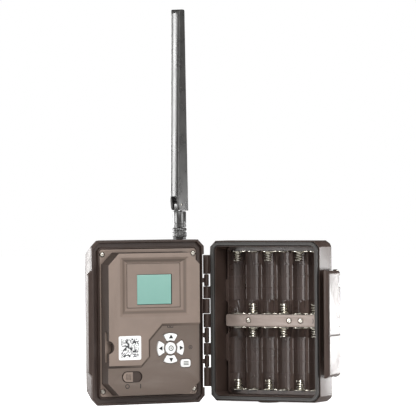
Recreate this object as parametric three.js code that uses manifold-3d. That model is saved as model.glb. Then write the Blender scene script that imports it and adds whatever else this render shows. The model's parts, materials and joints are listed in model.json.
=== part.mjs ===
// Trail camera, opened like a book: rear case with its battery tray, front case with its
// control panel, side latch, two-pin hinge and a hinged paddle antenna.
// Millimetres, +Z up. The rear case is square to the axes with its opening facing -Y.
// Until the last lines, the hinge line of the case is x = 0, y = 0 and its foot is z = 0.

import * as THREE from 'three';
import { mergeVertices } from 'three/addons/utils/BufferGeometryUtils.js';
import { ConvexGeometry } from 'three/addons/geometries/ConvexGeometry.js';
import Module from 'manifold-3d';

const wasm = await Module();
wasm.setup();

// Driving dimensions.

const gap = 0.3; // between pieces that rest on each other
const pinRadius = 0.9;
const pinHole = 1.15;

const cellDiameter = 14.5; // AA cell
const cellLength = 50.5;
const cellRows = 2;
const cellColumns = 6;

const rear = {
  width: 105, height: 137.5, depth: 32, corner: 5.2, backChamfer: 8.8,
  rim: 5.2, backWall: 2.6, chamferWall: 2.6,
};
const gasket = { inset: 1.15, width: 3, seat: 1.9, proud: 2.2, sideGap: 0.15 };
const hinge = {
  toRear: 3.7, toFront: 3.5, rearRadius: 2.8, frontRadius: 2.1, ribHeight: 4,
  edges: [6, 19, 29.7, 40, 56.7], endGap: 0.4, openAngle: 123.5, cableHole: 2,
};
const front = {
  overTop: 1.25, overFar: 1.2, earReach: 1.9, corner: 5.7, rimLevel: 0.4, rimDepth: 4, straight: 12,
  midDepth: 27, depth: 43, deepCorner: 12, faceInset: 15, topInset: 12, wall: 3,
  channelGap: 0.4, channelDepth: 2.5, rib: 1.3, ledge: 2, earHeight: 12.8,
};
const keeper = { reach: 3.3, start: 0.7, thick: 3.2, high: 86.2, bevel: 1.7 };
const block = {
  hingeInset: 12.5, farInset: 8.8, lowInset: 8.3, highInset: 10.2, corner: 10.3, proud: 12.3,
  roof: 3, wall: 2, draft: 0.6, flange: 2, flangeLevel: 0.7, sink: 1.8, slope: 2.3,
};
const screen = { // `fromTop` and `fromFar` are from the raised block's edges
  fromTop: 4.2, fromFar: 11.6, width: 66.8, height: 50.6, depth: 3.2, floor: 1.8,
  slopeSide: 7.2, slopeLow: 7, slopeHigh: 4.6,
  lcdFromFar: 18.7, lcdFromTop: 15.6, lcdWidth: 31.3, lcdHeight: 23.8,
};
const sunk = { high: 69.1, low: 34.1, near: 49.8, mid: 62.9, turn: [41.6, 55.7], out: 70.1 };
const keys = {
  centre: [41.1, 47.8], okRadius: 5.1, inner: 6.6, outer: 12.9, halfAngle: 31, proud: 1.4,
  length: 4.1, clearance: 0.35, travel: 0.8, menuAt: [26.7, 34.6], menuSize: [9.6, 6.8],
};
const power = {
  fromFar: 13.6, width: 19.3, low: 19.6, high: 29, knob: 9.6, proud: 0.9, clearance: 0.4,
};
const card = {
  low: 37, width: 25.6, thick: 3, under: 4, notch: 5.5, notchAt: 49.7, wall: 1.2, socket: 22,
  socketGap: 0.6, socketWall: 1.2, socketRoof: 0.7, socketBack: 2,
};
const board = { under: 9.4, thick: 1.6 }; // from the top of the raised block
const panelScrew = {
  near: 12.5, fromFar: 10, low: 12, fromTop: 11.8, head: 1.75, seat: 2.4, shank: 1.1, grip: 8,
};
const tray = {
  pitch: 14.9, shift: 0.6, axisDepth: 20.6, level: 18, ridge: 22.4, wall: 1.05, slack: 0.15,
  springRoom: 4.15, corner: 2.2, tab: 2.2, tabs: [[-34, -13], [17, 34]],
};
const relief = { // notches round the troughs and a groove along each
  notchFirst: [14.6, 12.2], notchStep: 10.2, notchCount: 4, notchWide: 0.9, notchDeep: 0.5,
  grooveAt: 1.6, grooveWide: 1, grooveDeep: 0.6, grooveEnd: 4,
};
const bar = {
  height: 10.7, thick: 3, near: 11, screws: [32.6, 71.8, 82.8], head: 1.8, headThick: 1.2,
  seat: 2.6, seatDeep: 1.5, shank: 1.2, grip: 6,
};
const contact = {
  thick: 0.6, disc: 6.5, strap: 3.6, spring: 8, springBase: 4, springTip: 3, button: 3.4,
};
const latch = { // heights are from the middle of the case
  low: -47.6, high: 44, pivotOut: 4.5, pivotDepth: 23, barrel: 2.8, plateIn: 5, plateOut: 7.5,
  hookIn: 1.9, hookGap: 0.4, hookLength: 3.9, restAngle: 9.5, seam: -11.5,
  lugs: [[-39.7, -31.6], [-3.8, 1.7], [29.4, 37.6]], lugRadius: 2.4, lugGap: 0.5,
};
const antenna = {
  near: 18.4, depth: 14, jackRadius: 3.1, jackHigh: 6.5, collar: 5.6, collarThick: 0.9,
  nutRadius: 6.1, nutHigh: 8.5, neckRadius: 4.9, neckHigh: 14, stemRadius: 2.5,
  bladeHigh: 173.3, bladeThick: 8.6, widthLow: 17.7, widthHigh: 10, slotWidth: 5,
  slotHigh: 12.4, tongueThick: 4.4, tongueRadius: 3.2, pivotOffset: 2.5, pivotRise: 5.6,
  faceAzimuth: -4,
};
const lens = { fromTop: 66, bezel: 13, bore: 8.6, proud: 3, barrel: 7.4, barrelDepth: 22 };
const ledWindow = { width: 60, fromTop: 19, height: 27, thick: 1.6, corner: 4 };
const pir = { high: 37, half: 15, bulge: 5, seat: 1.6 };
const bracket = {
  width: 64, height: 96, plate: 3, wing: 8, reach: 10, corner: 6, shoulder: 16,
  strap: 28, strapThick: 5, strapCover: 2, postHigh: 6, tooth: 2, teeth: 6, screwsApart: 76,
  screwHead: 3, screwShank: 1.2,
};
const tripod = { at: [52, 15], boss: 9, insert: 4.2, bore: 2.55, insertHigh: 4.5 };

// Colours.

const paint = (color, roughness, metalness = 0) => ({ color, roughness, metalness });
const finish = {
  brown: paint(0x4a3a33, 0.6),
  panel: paint(0x5c4d45, 0.55),
  tray: paint(0x2b2320, 0.6),
  bar: paint(0x5a4a42, 0.55),
  gasket: paint(0x3e403e, 0.8),
  black: paint(0x141416, 0.45),
  white: paint(0xe8e8e6, 0.5),
  steel: paint(0xb9b9b6, 0.35, 1),
  brass: paint(0xb59a56, 0.35, 1),
  board: paint(0x1f5a35, 0.5),
  lcd: paint(0x8cc8b4, 0.35),
  glass: paint(0x202428, 0.1),
  rubber: paint(0x1a1a1a, 0.85),
};

// Solids.

// The plane of an outline and the way it is drawn out, for each axis.
const planes = {
  x: [[0, 1, 0], [0, 0, 1], [1, 0, 0]],
  y: [[1, 0, 0], [0, 0, 1], [0, -1, 0]],
  z: [[1, 0, 0], [0, 1, 0], [0, 0, 1]],
};

function toSolid(geometry) {
  geometry.deleteAttribute('normal');
  geometry.deleteAttribute('uv');
  const merged = mergeVertices(geometry, 1e-4);
  const vertProperties = new Float32Array(merged.attributes.position.array);
  const triVerts = new Uint32Array(merged.index.array);
  return new wasm.Manifold(new wasm.Mesh({ numProp: 3, vertProperties, triVerts }));
}

function place(geometry, axis, from, to) {
  const [a, b, c] = planes[axis].map((v) => new THREE.Vector3(...v));
  geometry.applyMatrix4(new THREE.Matrix4().makeBasis(a, b, c));
  const shift = axis === 'y' ? to : from;
  geometry.translate(axis === 'x' ? shift : 0, axis === 'y' ? shift : 0, axis === 'z' ? shift : 0);
  return geometry;
}

// An outline (x,y for 'z'; x,z for 'y'; y,z for 'x') drawn out along an axis.
function drawn(axis, outline, from, to, holes = []) {
  const shape = new THREE.Shape(outline.map(([a, b]) => new THREE.Vector2(a, b)));
  shape.holes = holes.map((hole) => new THREE.Path(hole.map(([a, b]) => new THREE.Vector2(a, b))));
  const geometry = new THREE.ExtrudeGeometry(shape, { depth: to - from, bevelEnabled: false });
  return toSolid(place(geometry, axis, from, to));
}

function box(x0, x1, y0, y1, z0, z1) {
  const geometry = new THREE.BoxGeometry(x1 - x0, y1 - y0, z1 - z0);
  geometry.translate((x0 + x1) / 2, (y0 + y1) / 2, (z0 + z1) / 2);
  return toSolid(geometry);
}

function circle(a, b, radius, sides = 20, start = 0, sweep = 360) {
  const whole = sweep === 360;
  const count = whole ? sides : sides + 1;
  return Array.from({ length: count }, (_, i) => {
    const angle = THREE.MathUtils.degToRad(start + (sweep * i) / sides);
    return [a + radius * Math.cos(angle), b + radius * Math.sin(angle)];
  });
}

const rod = (axis, a, b, radius, from, to, sides = 20) => (
  drawn(axis, circle(a, b, radius, sides), from, to)
);

const tube = (axis, a, b, outer, inner, from, to, sides = 24) => (
  drawn(axis, circle(a, b, outer, sides), from, to, [circle(a, b, inner, sides)])
);

// A cone along y, z or x: its two ends may have different radii.
function cone(axis, a, b, radiusFrom, radiusTo, from, to, sides = 12) {
  const geometry = new THREE.CylinderGeometry(radiusFrom, radiusTo, to - from, sides);
  geometry.rotateX(-Math.PI / 2);
  geometry.translate(a, b, (to - from) / 2);
  return toSolid(place(geometry, axis, from, to));
}

// A rectangle with cut corners, pulled in by `inset` so that every edge stays parallel.
function cutRectangle(x0, x1, z0, z1, corner, inset = 0) {
  const c = Math.max(corner - inset * (2 - Math.SQRT2), 0.3);
  const [l, r, b, t] = [x0 + inset, x1 - inset, z0 + inset, z1 - inset];
  return [
    [l + c, b], [r - c, b], [r, b + c], [r, t - c],
    [r - c, t], [l + c, t], [l, t - c], [l, b + c],
  ];
}

function stadium(x0, x1, z0, z1, sides = 8) {
  const radius = (z1 - z0) / 2;
  const middle = (z0 + z1) / 2;
  return [
    ...circle(x1 - radius, middle, radius, sides, -90, 180),
    ...circle(x0 + radius, middle, radius, sides, 90, 180),
  ];
}

// The convex body through outlines of (x, z) that stand at given y.
function hullOf(sections) {
  const points = sections.flatMap(({ y, outline }) => (
    outline.map(([x, z]) => new THREE.Vector3(x, y, z))
  ));
  return toSolid(new ConvexGeometry(points));
}

const join = (...solids) => solids.reduce((all, next) => all.add(next));
const cut = (body, ...tools) => tools.reduce((left, tool) => left.subtract(tool), body);

function asMesh(name, solid, look, parent) {
  const { vertProperties, triVerts } = solid.getMesh();
  const geometry = new THREE.BufferGeometry();
  geometry.setAttribute('position', new THREE.BufferAttribute(vertProperties, 3));
  geometry.setIndex(new THREE.BufferAttribute(triVerts, 1));
  geometry.computeVertexNormals();
  const mesh = new THREE.Mesh(geometry, new THREE.MeshStandardMaterial(look));
  mesh.name = name;
  parent.add(mesh);
  return mesh;
}

// Groups.

const camera = new THREE.Group();
const rearGroup = new THREE.Group();
const frontGroup = new THREE.Group();
camera.add(rearGroup, frontGroup);

// The front case is drawn lying flat open, running from the hinge line towards -X.
frontGroup.rotation.z = THREE.MathUtils.degToRad(180 - hinge.openAngle);

// Rear case.

const rearLeft = hinge.toRear;
const rearRight = rearLeft + rear.width;
const frontHigh = rear.height + 2 * front.overTop;
const middleHigh = frontHigh / 2;
const rearLow = middleHigh - rear.height / 2;
const rearHigh = middleHigh + rear.height / 2;
const rearOutline = (inset) => cutRectangle(rearLeft, rearRight, rearLow, rearHigh, rear.corner, inset);
const inDepth = rear.depth - rear.backWall; // where the inside of the back wall lies
// How far the inside corner chamfer runs when its wall keeps rear.chamferWall.
const inChamfer = rear.backChamfer + rear.chamferWall * Math.SQRT2 - rear.rim - rear.backWall;

const rearKnuckles = [];
const frontKnuckles = [];
const knuckleEdges = [...hinge.edges.map((e) => -e).reverse(), ...hinge.edges];
for (let i = 0; i + 1 < knuckleEdges.length; i += 1) {
  const low = middleHigh + knuckleEdges[i] + hinge.endGap / 2;
  const span = [low, middleHigh + knuckleEdges[i + 1] - hinge.endGap / 2];
  (i % 2 === 0 ? rearKnuckles : frontKnuckles).push(span);
}

// A box with its back edges cut: used for the case, its inside and the tray.
function backChamfered(outline, x0, x1, z0, z1, y0, y1, chamfer) {
  const profile = (low, high) => [
    [y0, low], [y1 - chamfer, low], [y1, low + chamfer],
    [y1, high - chamfer], [y1 - chamfer, high], [y0, high],
  ];
  const topView = profile(x0, x1).map(([y, x]) => [x, y]).reverse();
  return drawn('y', outline, y0, y1)
    .intersect(drawn('x', profile(z0, z1), x0, x1))
    .intersect(drawn('z', topView, z0, z1));
}

function latchLug([low, high]) {
  const x = rearRight + latch.pivotOut;
  const r = latch.lugRadius;
  const outline = [
    [rearRight - 1, latch.pivotDepth - r], ...circle(x, latch.pivotDepth, r, 10, -90, 180),
    [rearRight - 1, latch.pivotDepth + r],
  ];
  return drawn('z', outline, middleHigh + low, middleHigh + high, [
    circle(x, latch.pivotDepth, pinHole, 12),
  ]);
}

function rearKnuckle([low, high]) {
  const r = hinge.rearRadius;
  const outline = [...circle(0, 0, r, 16, 100, 250), [rearLeft + 0.5, 0.6], [rearLeft + 0.5, r + 1.6]];
  return drawn('z', outline, low, high, [circle(0, 0, pinHole, 12)]);
}

const trayDepth = inDepth - gap;
const insertLow = gap;
const tripodHole = rod('z', ...tripod.at, tripod.insert + gap, -1, insertLow + tripod.insertHigh + gap);
const bracketScrewAt = [-1, 1].map((side) => middleHigh + (side * bracket.screwsApart) / 2);
const bracketX = (rearLeft + rearRight) / 2;

function rearShell() {
  const outer = backChamfered(
    rearOutline(0), rearLeft, rearRight, rearLow, rearHigh, 0, rear.depth, rear.backChamfer,
  );
  const inner = backChamfered(
    rearOutline(rear.rim), rearLeft + rear.rim, rearRight - rear.rim, rearLow + rear.rim,
    rearHigh - rear.rim, -1, inDepth, inChamfer,
  );
  const groove = drawn(
    'y', rearOutline(gasket.inset - gasket.sideGap), -1, gasket.seat + gap,
    [rearOutline(gasket.inset + gasket.width + gasket.sideGap)],
  );
  const boss = rod('z', ...tripod.at, tripod.boss, 0, rearLow + 1, 28);
  const screwHoles = bracketScrewAt.map((z) => (
    rod('y', bracketX, z, bracket.screwShank + gap, inDepth - 1, rear.depth + 1, 12)
  ));
  const shell = cut(join(outer, boss), inner, groove, tripodHole, ...screwHoles);
  return join(shell, ...rearKnuckles.map(rearKnuckle), ...latch.lugs.map(latchLug));
}

asMesh('rear_shell', rearShell(), finish.brown, rearGroup);

asMesh('rim_gasket', drawn(
  'y', rearOutline(gasket.inset), -gasket.proud, gasket.seat, [rearOutline(gasket.inset + gasket.width)],
), finish.gasket, rearGroup);

asMesh('tripod_insert', tube(
  'z', ...tripod.at, tripod.insert, tripod.bore, insertLow, insertLow + tripod.insertHigh,
), finish.brass, rearGroup);

// Hinge pins: the upper pair of knuckles and the lower four turn on one pin each, and the
// front knuckle between them carries the cable between the two halves.
const cableSpan = frontKnuckles[2];
const pinLow = middleHigh - hinge.edges[4] + 1;
const pinHigh = middleHigh + hinge.edges[4] - 1;
const hingePin = (low, high) => rod('z', 0, 0, pinRadius, low, high, 12);
asMesh('hinge_pin_lower', hingePin(pinLow, cableSpan[0] - 3), finish.steel, rearGroup);
asMesh('hinge_pin_upper', hingePin(cableSpan[1] + 1, pinHigh), finish.steel, rearGroup);

// Battery tray.

const cellRadius = tray.pitch / 2 - tray.slack;
const columnX = Array.from({ length: cellColumns }, (_, i) => (
  (rearLeft + rearRight) / 2 + tray.shift + (i - (cellColumns - 1) / 2) * tray.pitch
));
const rowSpan = cellLength + tray.springRoom;
const rowLow = [middleHigh - bar.height / 2 - rowSpan, middleHigh + bar.height / 2];
const trayLeft = columnX[0] - cellRadius - tray.wall;
const trayRight = rearRight - rear.rim - gap;

function trayOutline() {
  const low = rearLow + rear.rim + gap;
  const high = rearHigh - rear.rim - gap;
  const tabLeft = Math.max(trayLeft - tray.tab, rearLeft + rear.rim + gap);
  const step = trayLeft - tabLeft;
  const tabPoints = [...tray.tabs].reverse().flatMap(([a, b]) => [
    [trayLeft, middleHigh + b + step], [tabLeft, middleHigh + b],
    [tabLeft, middleHigh + a], [trayLeft, middleHigh + a - step],
  ]);
  const c = tray.corner;
  return [
    [trayLeft + c, low], [trayRight - c, low], [trayRight, low + c], [trayRight, high - c],
    [trayRight - c, high], [trayLeft + c, high], [trayLeft, high - c], ...tabPoints, [trayLeft, low + c],
  ];
}

// A row of troughs in section: round below the cell's axis, with a flat ridge between two.
function rowSection() {
  const ridgeAngle = THREE.MathUtils.radToDeg(Math.asin((tray.ridge - tray.axisDepth) / cellRadius));
  const arcs = columnX.flatMap((x, i) => {
    const start = i === 0 ? 180 : 180 - ridgeAngle;
    const end = i === cellColumns - 1 ? 0 : ridgeAngle;
    return circle(x, tray.axisDepth, cellRadius, 9, start, end - start);
  });
  const mouth = tray.level - 1;
  return [[columnX[0] - cellRadius, mouth], ...arcs, [columnX[cellColumns - 1] + cellRadius, mouth]];
}

// The cuts that lighten a row of troughs: rings across every trough and a groove along its floor.
function troughRelief(low, row) {
  const floor = tray.axisDepth + cellRadius;
  const notchRadius = cellRadius + relief.notchDeep;
  return columnX.flatMap((x) => {
    const notches = Array.from({ length: relief.notchCount }, (_, i) => {
      const z = low + relief.notchFirst[row] + i * relief.notchStep - relief.notchWide / 2;
      return rod('z', x, tray.axisDepth, notchRadius, z, z + relief.notchWide, 28);
    });
    const left = x + relief.grooveAt - relief.grooveWide / 2;
    const groove = box(
      left, left + relief.grooveWide, floor - 1, floor + relief.grooveDeep,
      low + relief.grooveEnd, low + rowSpan - relief.grooveEnd,
    );
    return [...notches, groove];
  });
}

function batteryTray() {
  const low = rearLow + rear.rim + gap;
  const high = rearHigh - rear.rim - gap;
  const body = backChamfered(
    trayOutline(), rearLeft + rear.rim + gap, trayRight, low, high, tray.level, trayDepth, inChamfer,
  );
  const pockets = rowLow.map((z) => drawn('z', rowSection(), z, z + rowSpan));
  const holes = bar.screws.map((x) => (
    rod('y', x, middleHigh, bar.shank + gap, tray.level - 1, tray.level + bar.grip + 1, 12)
  ));
  return cut(body, ...pockets, ...rowLow.flatMap(troughRelief), ...holes);
}

asMesh('battery_tray', batteryTray(), finish.tray, rearGroup);

const barTop = tray.level - gap - bar.thick;
const barOutline = cutRectangle(
  bar.near, trayRight - 1.8, middleHigh - bar.height / 2 + 0.2, middleHigh + bar.height / 2 - 0.2, 1,
);
const barSeats = bar.screws.flatMap((x) => [
  rod('y', x, middleHigh, bar.seat, barTop - 1, barTop + bar.seatDeep, 16),
  rod('y', x, middleHigh, bar.shank + gap, barTop, tray.level, 12),
]);
asMesh('tray_bar', cut(
  drawn('y', barOutline, barTop, barTop + bar.thick), ...barSeats,
), finish.bar, rearGroup);
bar.screws.forEach((x, i) => {
  const screw = join(
    rod('y', x, middleHigh, bar.head, barTop + 0.3, barTop + bar.headThick, 14),
    rod('y', x, middleHigh, bar.shank, barTop + 1, tray.level + bar.grip, 10),
  );
  asMesh(`tray_screw_${i + 1}`, screw, finish.steel, rearGroup);
});

// One contact joins two cells: a spring for one and a flat button for the other.
// `end` is +1 where the plate closes the top of a row, -1 where it closes the bottom.
function contactPlate(leftColumn, rowIndex, end, springFirst) {
  const wallAt = end > 0 ? rowLow[rowIndex] + rowSpan : rowLow[rowIndex];
  const plateFrom = end > 0 ? wallAt - gap - contact.thick : wallAt + gap;
  const plateTo = plateFrom + contact.thick;
  const [a, b] = [columnX[leftColumn], columnX[leftColumn + 1]];
  const strapFrom = tray.axisDepth - contact.strap / 2;
  const plate = join(
    rod('z', a, tray.axisDepth, contact.disc, plateFrom, plateTo, 16),
    rod('z', b, tray.axisDepth, contact.disc, plateFrom, plateTo, 16),
    box(a, b, strapFrom - 0.6, Math.min(strapFrom + contact.strap, tray.ridge - gap), plateFrom, plateTo),
  );
  const springX = springFirst ? a : b;
  const buttonX = springFirst ? b : a;
  const inner = end > 0 ? plateFrom : plateTo;
  const { spring, springBase, springTip } = contact;
  const fromPlate = (length) => [inner + 0.1 * end, inner - length * end].sort((p, q) => p - q);
  const radii = end > 0 ? [springBase, springTip] : [springTip, springBase];
  return join(
    plate, cone('z', springX, tray.axisDepth, ...radii, ...fromPlate(spring)),
    rod('z', buttonX, tray.axisDepth, contact.button, ...fromPlate(1), 12),
  );
}

for (let row = 0; row < cellRows; row += 1) {
  for (const end of [-1, 1]) {
    const outside = (row === 0) === (end < 0); // the end of the row away from the middle bar
    const where = `${row === 0 ? 'lower' : 'upper'}_${outside ? 'outer' : 'inner'}`;
    for (let pair = 0; pair < cellColumns / 2; pair += 1) {
      const plate = contactPlate(pair * 2, row, end, outside);
      asMesh(`contact_${where}_${pair + 1}`, plate, finish.steel, rearGroup);
    }
  }
}

// Tree bracket.

function treeBracket() {
  const y0 = rear.depth + gap;
  const tip = y0 + bracket.reach;
  const [x0, x1] = [bracketX - bracket.width / 2, bracketX + bracket.width / 2];
  const [z0, z1] = [middleHigh - bracket.height / 2, middleHigh + bracket.height / 2];
  const halfStrap = bracket.strap / 2;
  const between = (y, depth, low, high) => (
    box(x0 + bracket.wing, x1 - bracket.wing, y, y + depth, low, high)
  );
  const plate = drawn(
    'y', cutRectangle(x0, x1, z0, z1, bracket.corner), y0, y0 + bracket.plate,
  );
  // The wings' edges carry teeth that bite the tree, over the strap's height and a little more.
  const toothStep = (bracket.strap + 8) / bracket.teeth;
  const lastTooth = middleHigh - (bracket.teeth / 2) * toothStep;
  const teeth = Array.from({ length: bracket.teeth }, (_, i) => {
    const z = lastTooth + (i + 1) * toothStep;
    return [[tip - bracket.tooth, z - toothStep / 2], [tip, z]];
  }).flat();
  const root = y0 + bracket.plate;
  const wing = [
    [y0, z0 + bracket.corner], [root, z0 + bracket.corner], [tip, z0 + bracket.shoulder],
    [tip, lastTooth], ...teeth, [tip, z1 - bracket.shoulder],
    [root, z1 - bracket.corner], [y0, z1 - bracket.corner],
  ];
  const wings = [x0, x1 - bracket.wing].map((x) => drawn('x', wing, x, x + bracket.wing));
  const strapSlot = box(
    x0 - 1, x1 + 1, y0 - 1, y0 + bracket.strapThick, middleHigh - halfStrap, middleHigh + halfStrap,
  );
  const hub = between(y0, bracket.plate, z0 + 8, z1 - 8).subtract(strapSlot);
  const half = halfStrap + bracket.postHigh;
  const cover = between(
    y0 + bracket.strapThick, bracket.strapCover, middleHigh - half, middleHigh + half,
  );
  const posts = [middleHigh - half, middleHigh + halfStrap].map((z) => (
    between(y0 + 1, bracket.strapThick, z, z + bracket.postHigh)
  ));
  const holes = bracketScrewAt.map((z) => (
    rod('y', bracketX, z, bracket.screwShank + 2 * gap, y0 - 1, y0 + 8, 12)
  ));
  return cut(join(cut(join(plate, ...wings), strapSlot), hub, cover, ...posts), ...holes);
}

asMesh('tree_bracket', treeBracket(), finish.brown, rearGroup);
bracketScrewAt.forEach((z, i) => {
  const top = rear.depth + gap + bracket.plate;
  const screw = join(
    rod('y', bracketX, z, bracket.screwHead, top + gap, top + gap + 1.6, 16),
    rod('y', bracketX, z, bracket.screwShank, inDepth + 0.2, top + gap + 0.5, 10),
  );
  asMesh(`bracket_screw_${i + 1}`, screw, finish.steel, rearGroup);
});

// Latch.

// Drawn hooked over the keeper, in a group whose origin is the pivot, then swung off it.
const latchLow = middleHigh + latch.low;
const latchHigh = middleHigh + latch.high;
const latchGroup = new THREE.Group();
latchGroup.position.set(rearRight + latch.pivotOut, latch.pivotDepth, 0);
latchGroup.rotation.z = THREE.MathUtils.degToRad(latch.restAngle);
rearGroup.add(latchGroup);

function latchLever() {
  const toPivotX = (fromRear) => fromRear - latch.pivotOut;
  const catchAt = -(keeper.start + keeper.thick + latch.hookGap) - latch.pivotDepth;
  const tip = catchAt - latch.hookLength;
  const [hookIn, plateIn, plateOut] = [latch.hookIn, latch.plateIn, latch.plateOut].map(toPivotX);
  const nose = 2.2;
  const outline = [
    [plateIn, -latch.barrel], [plateIn, catchAt], [hookIn + 0.5, catchAt], [hookIn, catchAt - 0.5],
    ...circle(hookIn + nose, tip + nose, nose, 5, 180, 90),
    ...circle(plateOut - nose, tip + nose, nose, 5, 270, 90),
    [plateOut, latch.barrel - 1], [plateOut - 1, latch.barrel], [0, latch.barrel],
    ...circle(0, 0, latch.barrel, 8, 90, 180).slice(1, -1), [0, -latch.barrel],
  ];
  const lever = drawn('z', outline, latchLow, latchHigh, [circle(0, 0, pinHole, 12)]);
  const notches = latch.lugs.map(([low, high]) => box(
    -9, plateOut + 1, -latch.lugRadius - latch.lugGap, 9,
    middleHigh + low - latch.lugGap, middleHigh + high + latch.lugGap,
  ));
  const seamHigh = middleHigh + latch.seam;
  const seam = box(plateOut - 0.7, plateOut + 1, tip - 1, 9, seamHigh - 0.4, seamHigh + 0.4);
  const ends = [latchLow, latchHigh].map((z, i) => {
    const s = i === 0 ? 1 : -1;
    const wedge = [
      [plateOut - 3, z - s], [plateOut + 1, z - s], [plateOut + 1, z + 4 * s],
      [plateOut, z + 3 * s], [plateOut - 3, z],
    ];
    return drawn('y', wedge, tip - 1, 9);
  });
  return cut(lever, ...notches, seam, ...ends);
}

asMesh('latch_lever', latchLever(), finish.brown, latchGroup);
asMesh('latch_pin', rod(
  'z', rearRight + latch.pivotOut, latch.pivotDepth, pinRadius, latchLow + 0.5, latchHigh - 0.5, 12,
), finish.steel, rearGroup);

// Front case.

// Outlines of the front case are given from the hinge line outwards, then mirrored to -X.
const mirror = (outline) => outline.map(([u, z]) => [-u, z]).reverse();
const frontFar = rearRight + front.overFar;
const frontOutline = (near, far, low, high, corner) => (
  mirror(cutRectangle(near, far, low, high, corner))
);
const asFront = (inset) => mirror(rearOutline(inset)); // an outline that meets the rear case's when shut
const channelIn = gasket.inset + gasket.width + front.channelGap;
const pocketIn = channelIn + front.rib;
const ledgeIn = pocketIn + front.ledge;
const ledgeLevel = block.flangeLevel + block.flange + gap;
const innerBox = (inset) => [rearLeft + inset, rearRight - inset, rearLow + inset, rearHigh - inset];

function frontBody() {
  const { corner, deepCorner, faceInset, topInset } = front;
  const taper = (front.midDepth - front.straight) / (front.depth - front.straight);
  const outline = (side, ends, cornerSize) => (
    frontOutline(front.earReach + side, frontFar - side, ends, frontHigh - ends, cornerSize)
  );
  return hullOf([
    { y: front.rimLevel, outline: outline(0, 0, corner) },
    { y: front.rimDepth, outline: outline(0, 0, corner) },
    { y: front.straight, outline: outline(0, 0, deepCorner) },
    { y: front.midDepth, outline: outline(faceInset * taper, 0, deepCorner) },
    { y: front.depth, outline: outline(faceInset, topInset, deepCorner) },
  ]);
}

function frontRoom() {
  const [near, far, low, high] = innerBox(ledgeIn);
  const { wall } = front;
  return hullOf([
    { y: -1, outline: frontOutline(near, far, low, high, 12) },
    { y: front.straight, outline: frontOutline(near, far, low, high, 12) },
    { y: front.midDepth, outline: frontOutline(near + wall, far - wall, low, high, 12) },
    {
      y: front.depth - wall,
      outline: frontOutline(
        front.earReach + front.faceInset + wall, frontFar - front.faceInset - wall, front.topInset + wall,
        frontHigh - front.topInset - wall, 10,
      ),
    },
  ]);
}

function frontKnuckle([low, high], isCable) {
  const radius = isCable ? hinge.rearRadius : hinge.frontRadius;
  const hole = isCable ? hinge.cableHole : pinHole;
  const middle = (low + high) / 2;
  const half = isCable ? (high - low) / 2 : hinge.ribHeight / 2;
  const barrel = tube('z', 0, 0, radius, hole, low, high, 16);
  const root = -hinge.toFront - 0.8;
  const arm = [[root, 1], [root, 3.4], [-1, radius - 0.3], [-hole - 0.2, 0.4]];
  return join(barrel, drawn('z', arm.reverse(), middle - half, middle + half));
}

function keeperLip() {
  const u0 = frontFar - 0.5;
  const u1 = frontFar + keeper.reach;
  const half = keeper.high / 2;
  const outline = mirror([
    [u0, middleHigh - half - 2], [u1, middleHigh - half + keeper.bevel],
    [u1, middleHigh + half - keeper.bevel], [u0, middleHigh + half + 2],
  ]);
  return drawn('y', outline, keeper.start, keeper.start + keeper.thick);
}

const screwPlaces = [panelScrew.near, frontFar - panelScrew.fromFar].flatMap((u) => (
  [panelScrew.low, frontHigh - panelScrew.fromTop].map((z) => [-u, z])
));
const faceMiddle = (front.earReach + frontFar) / 2; // the front's fittings stand on this line
const lensHigh = frontHigh - lens.fromTop;
const jackX = -antenna.near;
const faceIn = front.depth - front.wall;

const pirBox = (grow) => frontOutline(
  faceMiddle - pir.half - grow, faceMiddle + pir.half + grow,
  pir.high - pir.half - grow, pir.high + pir.half + grow, 3,
);
const ledBox = (grow) => frontOutline(
  faceMiddle - ledWindow.width / 2 - grow, faceMiddle + ledWindow.width / 2 + grow,
  frontHigh - ledWindow.fromTop - ledWindow.height - grow,
  frontHigh - ledWindow.fromTop + grow, ledWindow.corner,
);

function frontShell() {
  const channel = drawn(
    'y', asFront(gasket.inset - front.channelGap), -1, front.rimLevel + front.channelDepth,
    [asFront(channelIn)],
  );
  const pocket = drawn('y', asFront(pocketIn), -1, ledgeLevel);
  const hingeRoom = box(
    -hinge.toFront, 1, -1, front.depth, front.earHeight, frontHigh - front.earHeight,
  );
  const screwHoles = screwPlaces.map(([x, z]) => rod(
    'y', x, z, panelScrew.shank + gap, ledgeLevel - 1, ledgeLevel + panelScrew.grip + 1, 12,
  ));
  const jackHole = rod(
    'z', jackX, antenna.depth, antenna.jackRadius + gap, frontHigh - 20, frontHigh + 1, 20,
  );
  const lensHole = rod('y', -faceMiddle, lensHigh, lens.bezel + gap, faceIn - 1, front.depth + 1, 32);
  const ledHole = drawn('y', ledBox(-2), faceIn - 1, front.depth + 1);
  const ledSeat = drawn('y', ledBox(gap), front.depth - ledWindow.thick, front.depth + 1);
  const pirHole = drawn('y', pirBox(-2), faceIn - 1, front.depth + 1);
  const pirSeat = drawn('y', pirBox(gap), front.depth - pir.seat, front.depth + 1);
  const shell = cut(
    frontBody(), frontRoom(), channel, pocket, hingeRoom, ...screwHoles, jackHole, lensHole,
    ledHole, ledSeat, pirHole, pirSeat,
  );
  const knuckles = frontKnuckles.map((span, i) => frontKnuckle(span, i === 2));
  return join(shell, keeperLip(), ...knuckles);
}

asMesh('front_shell', frontShell(), finish.brown, frontGroup);
asMesh('cable_sleeve', rod(
  'z', 0, 0, hinge.cableHole - gap, cableSpan[0] + 0.2, cableSpan[1] - 0.2, 12,
), finish.rubber, frontGroup);

// Control panel.

const blockFar = frontFar - block.farInset;
const blockHigh = frontHigh - block.highInset;
const blockOutline = (inset) => mirror(cutRectangle(
  block.hingeInset, blockFar, block.lowInset, blockHigh, block.corner, inset,
));
const roofTop = -block.proud;
const roofBottom = roofTop + block.roof;
const sunkTop = roofTop + block.sink;
const cardTop = roofTop + card.under;

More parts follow.
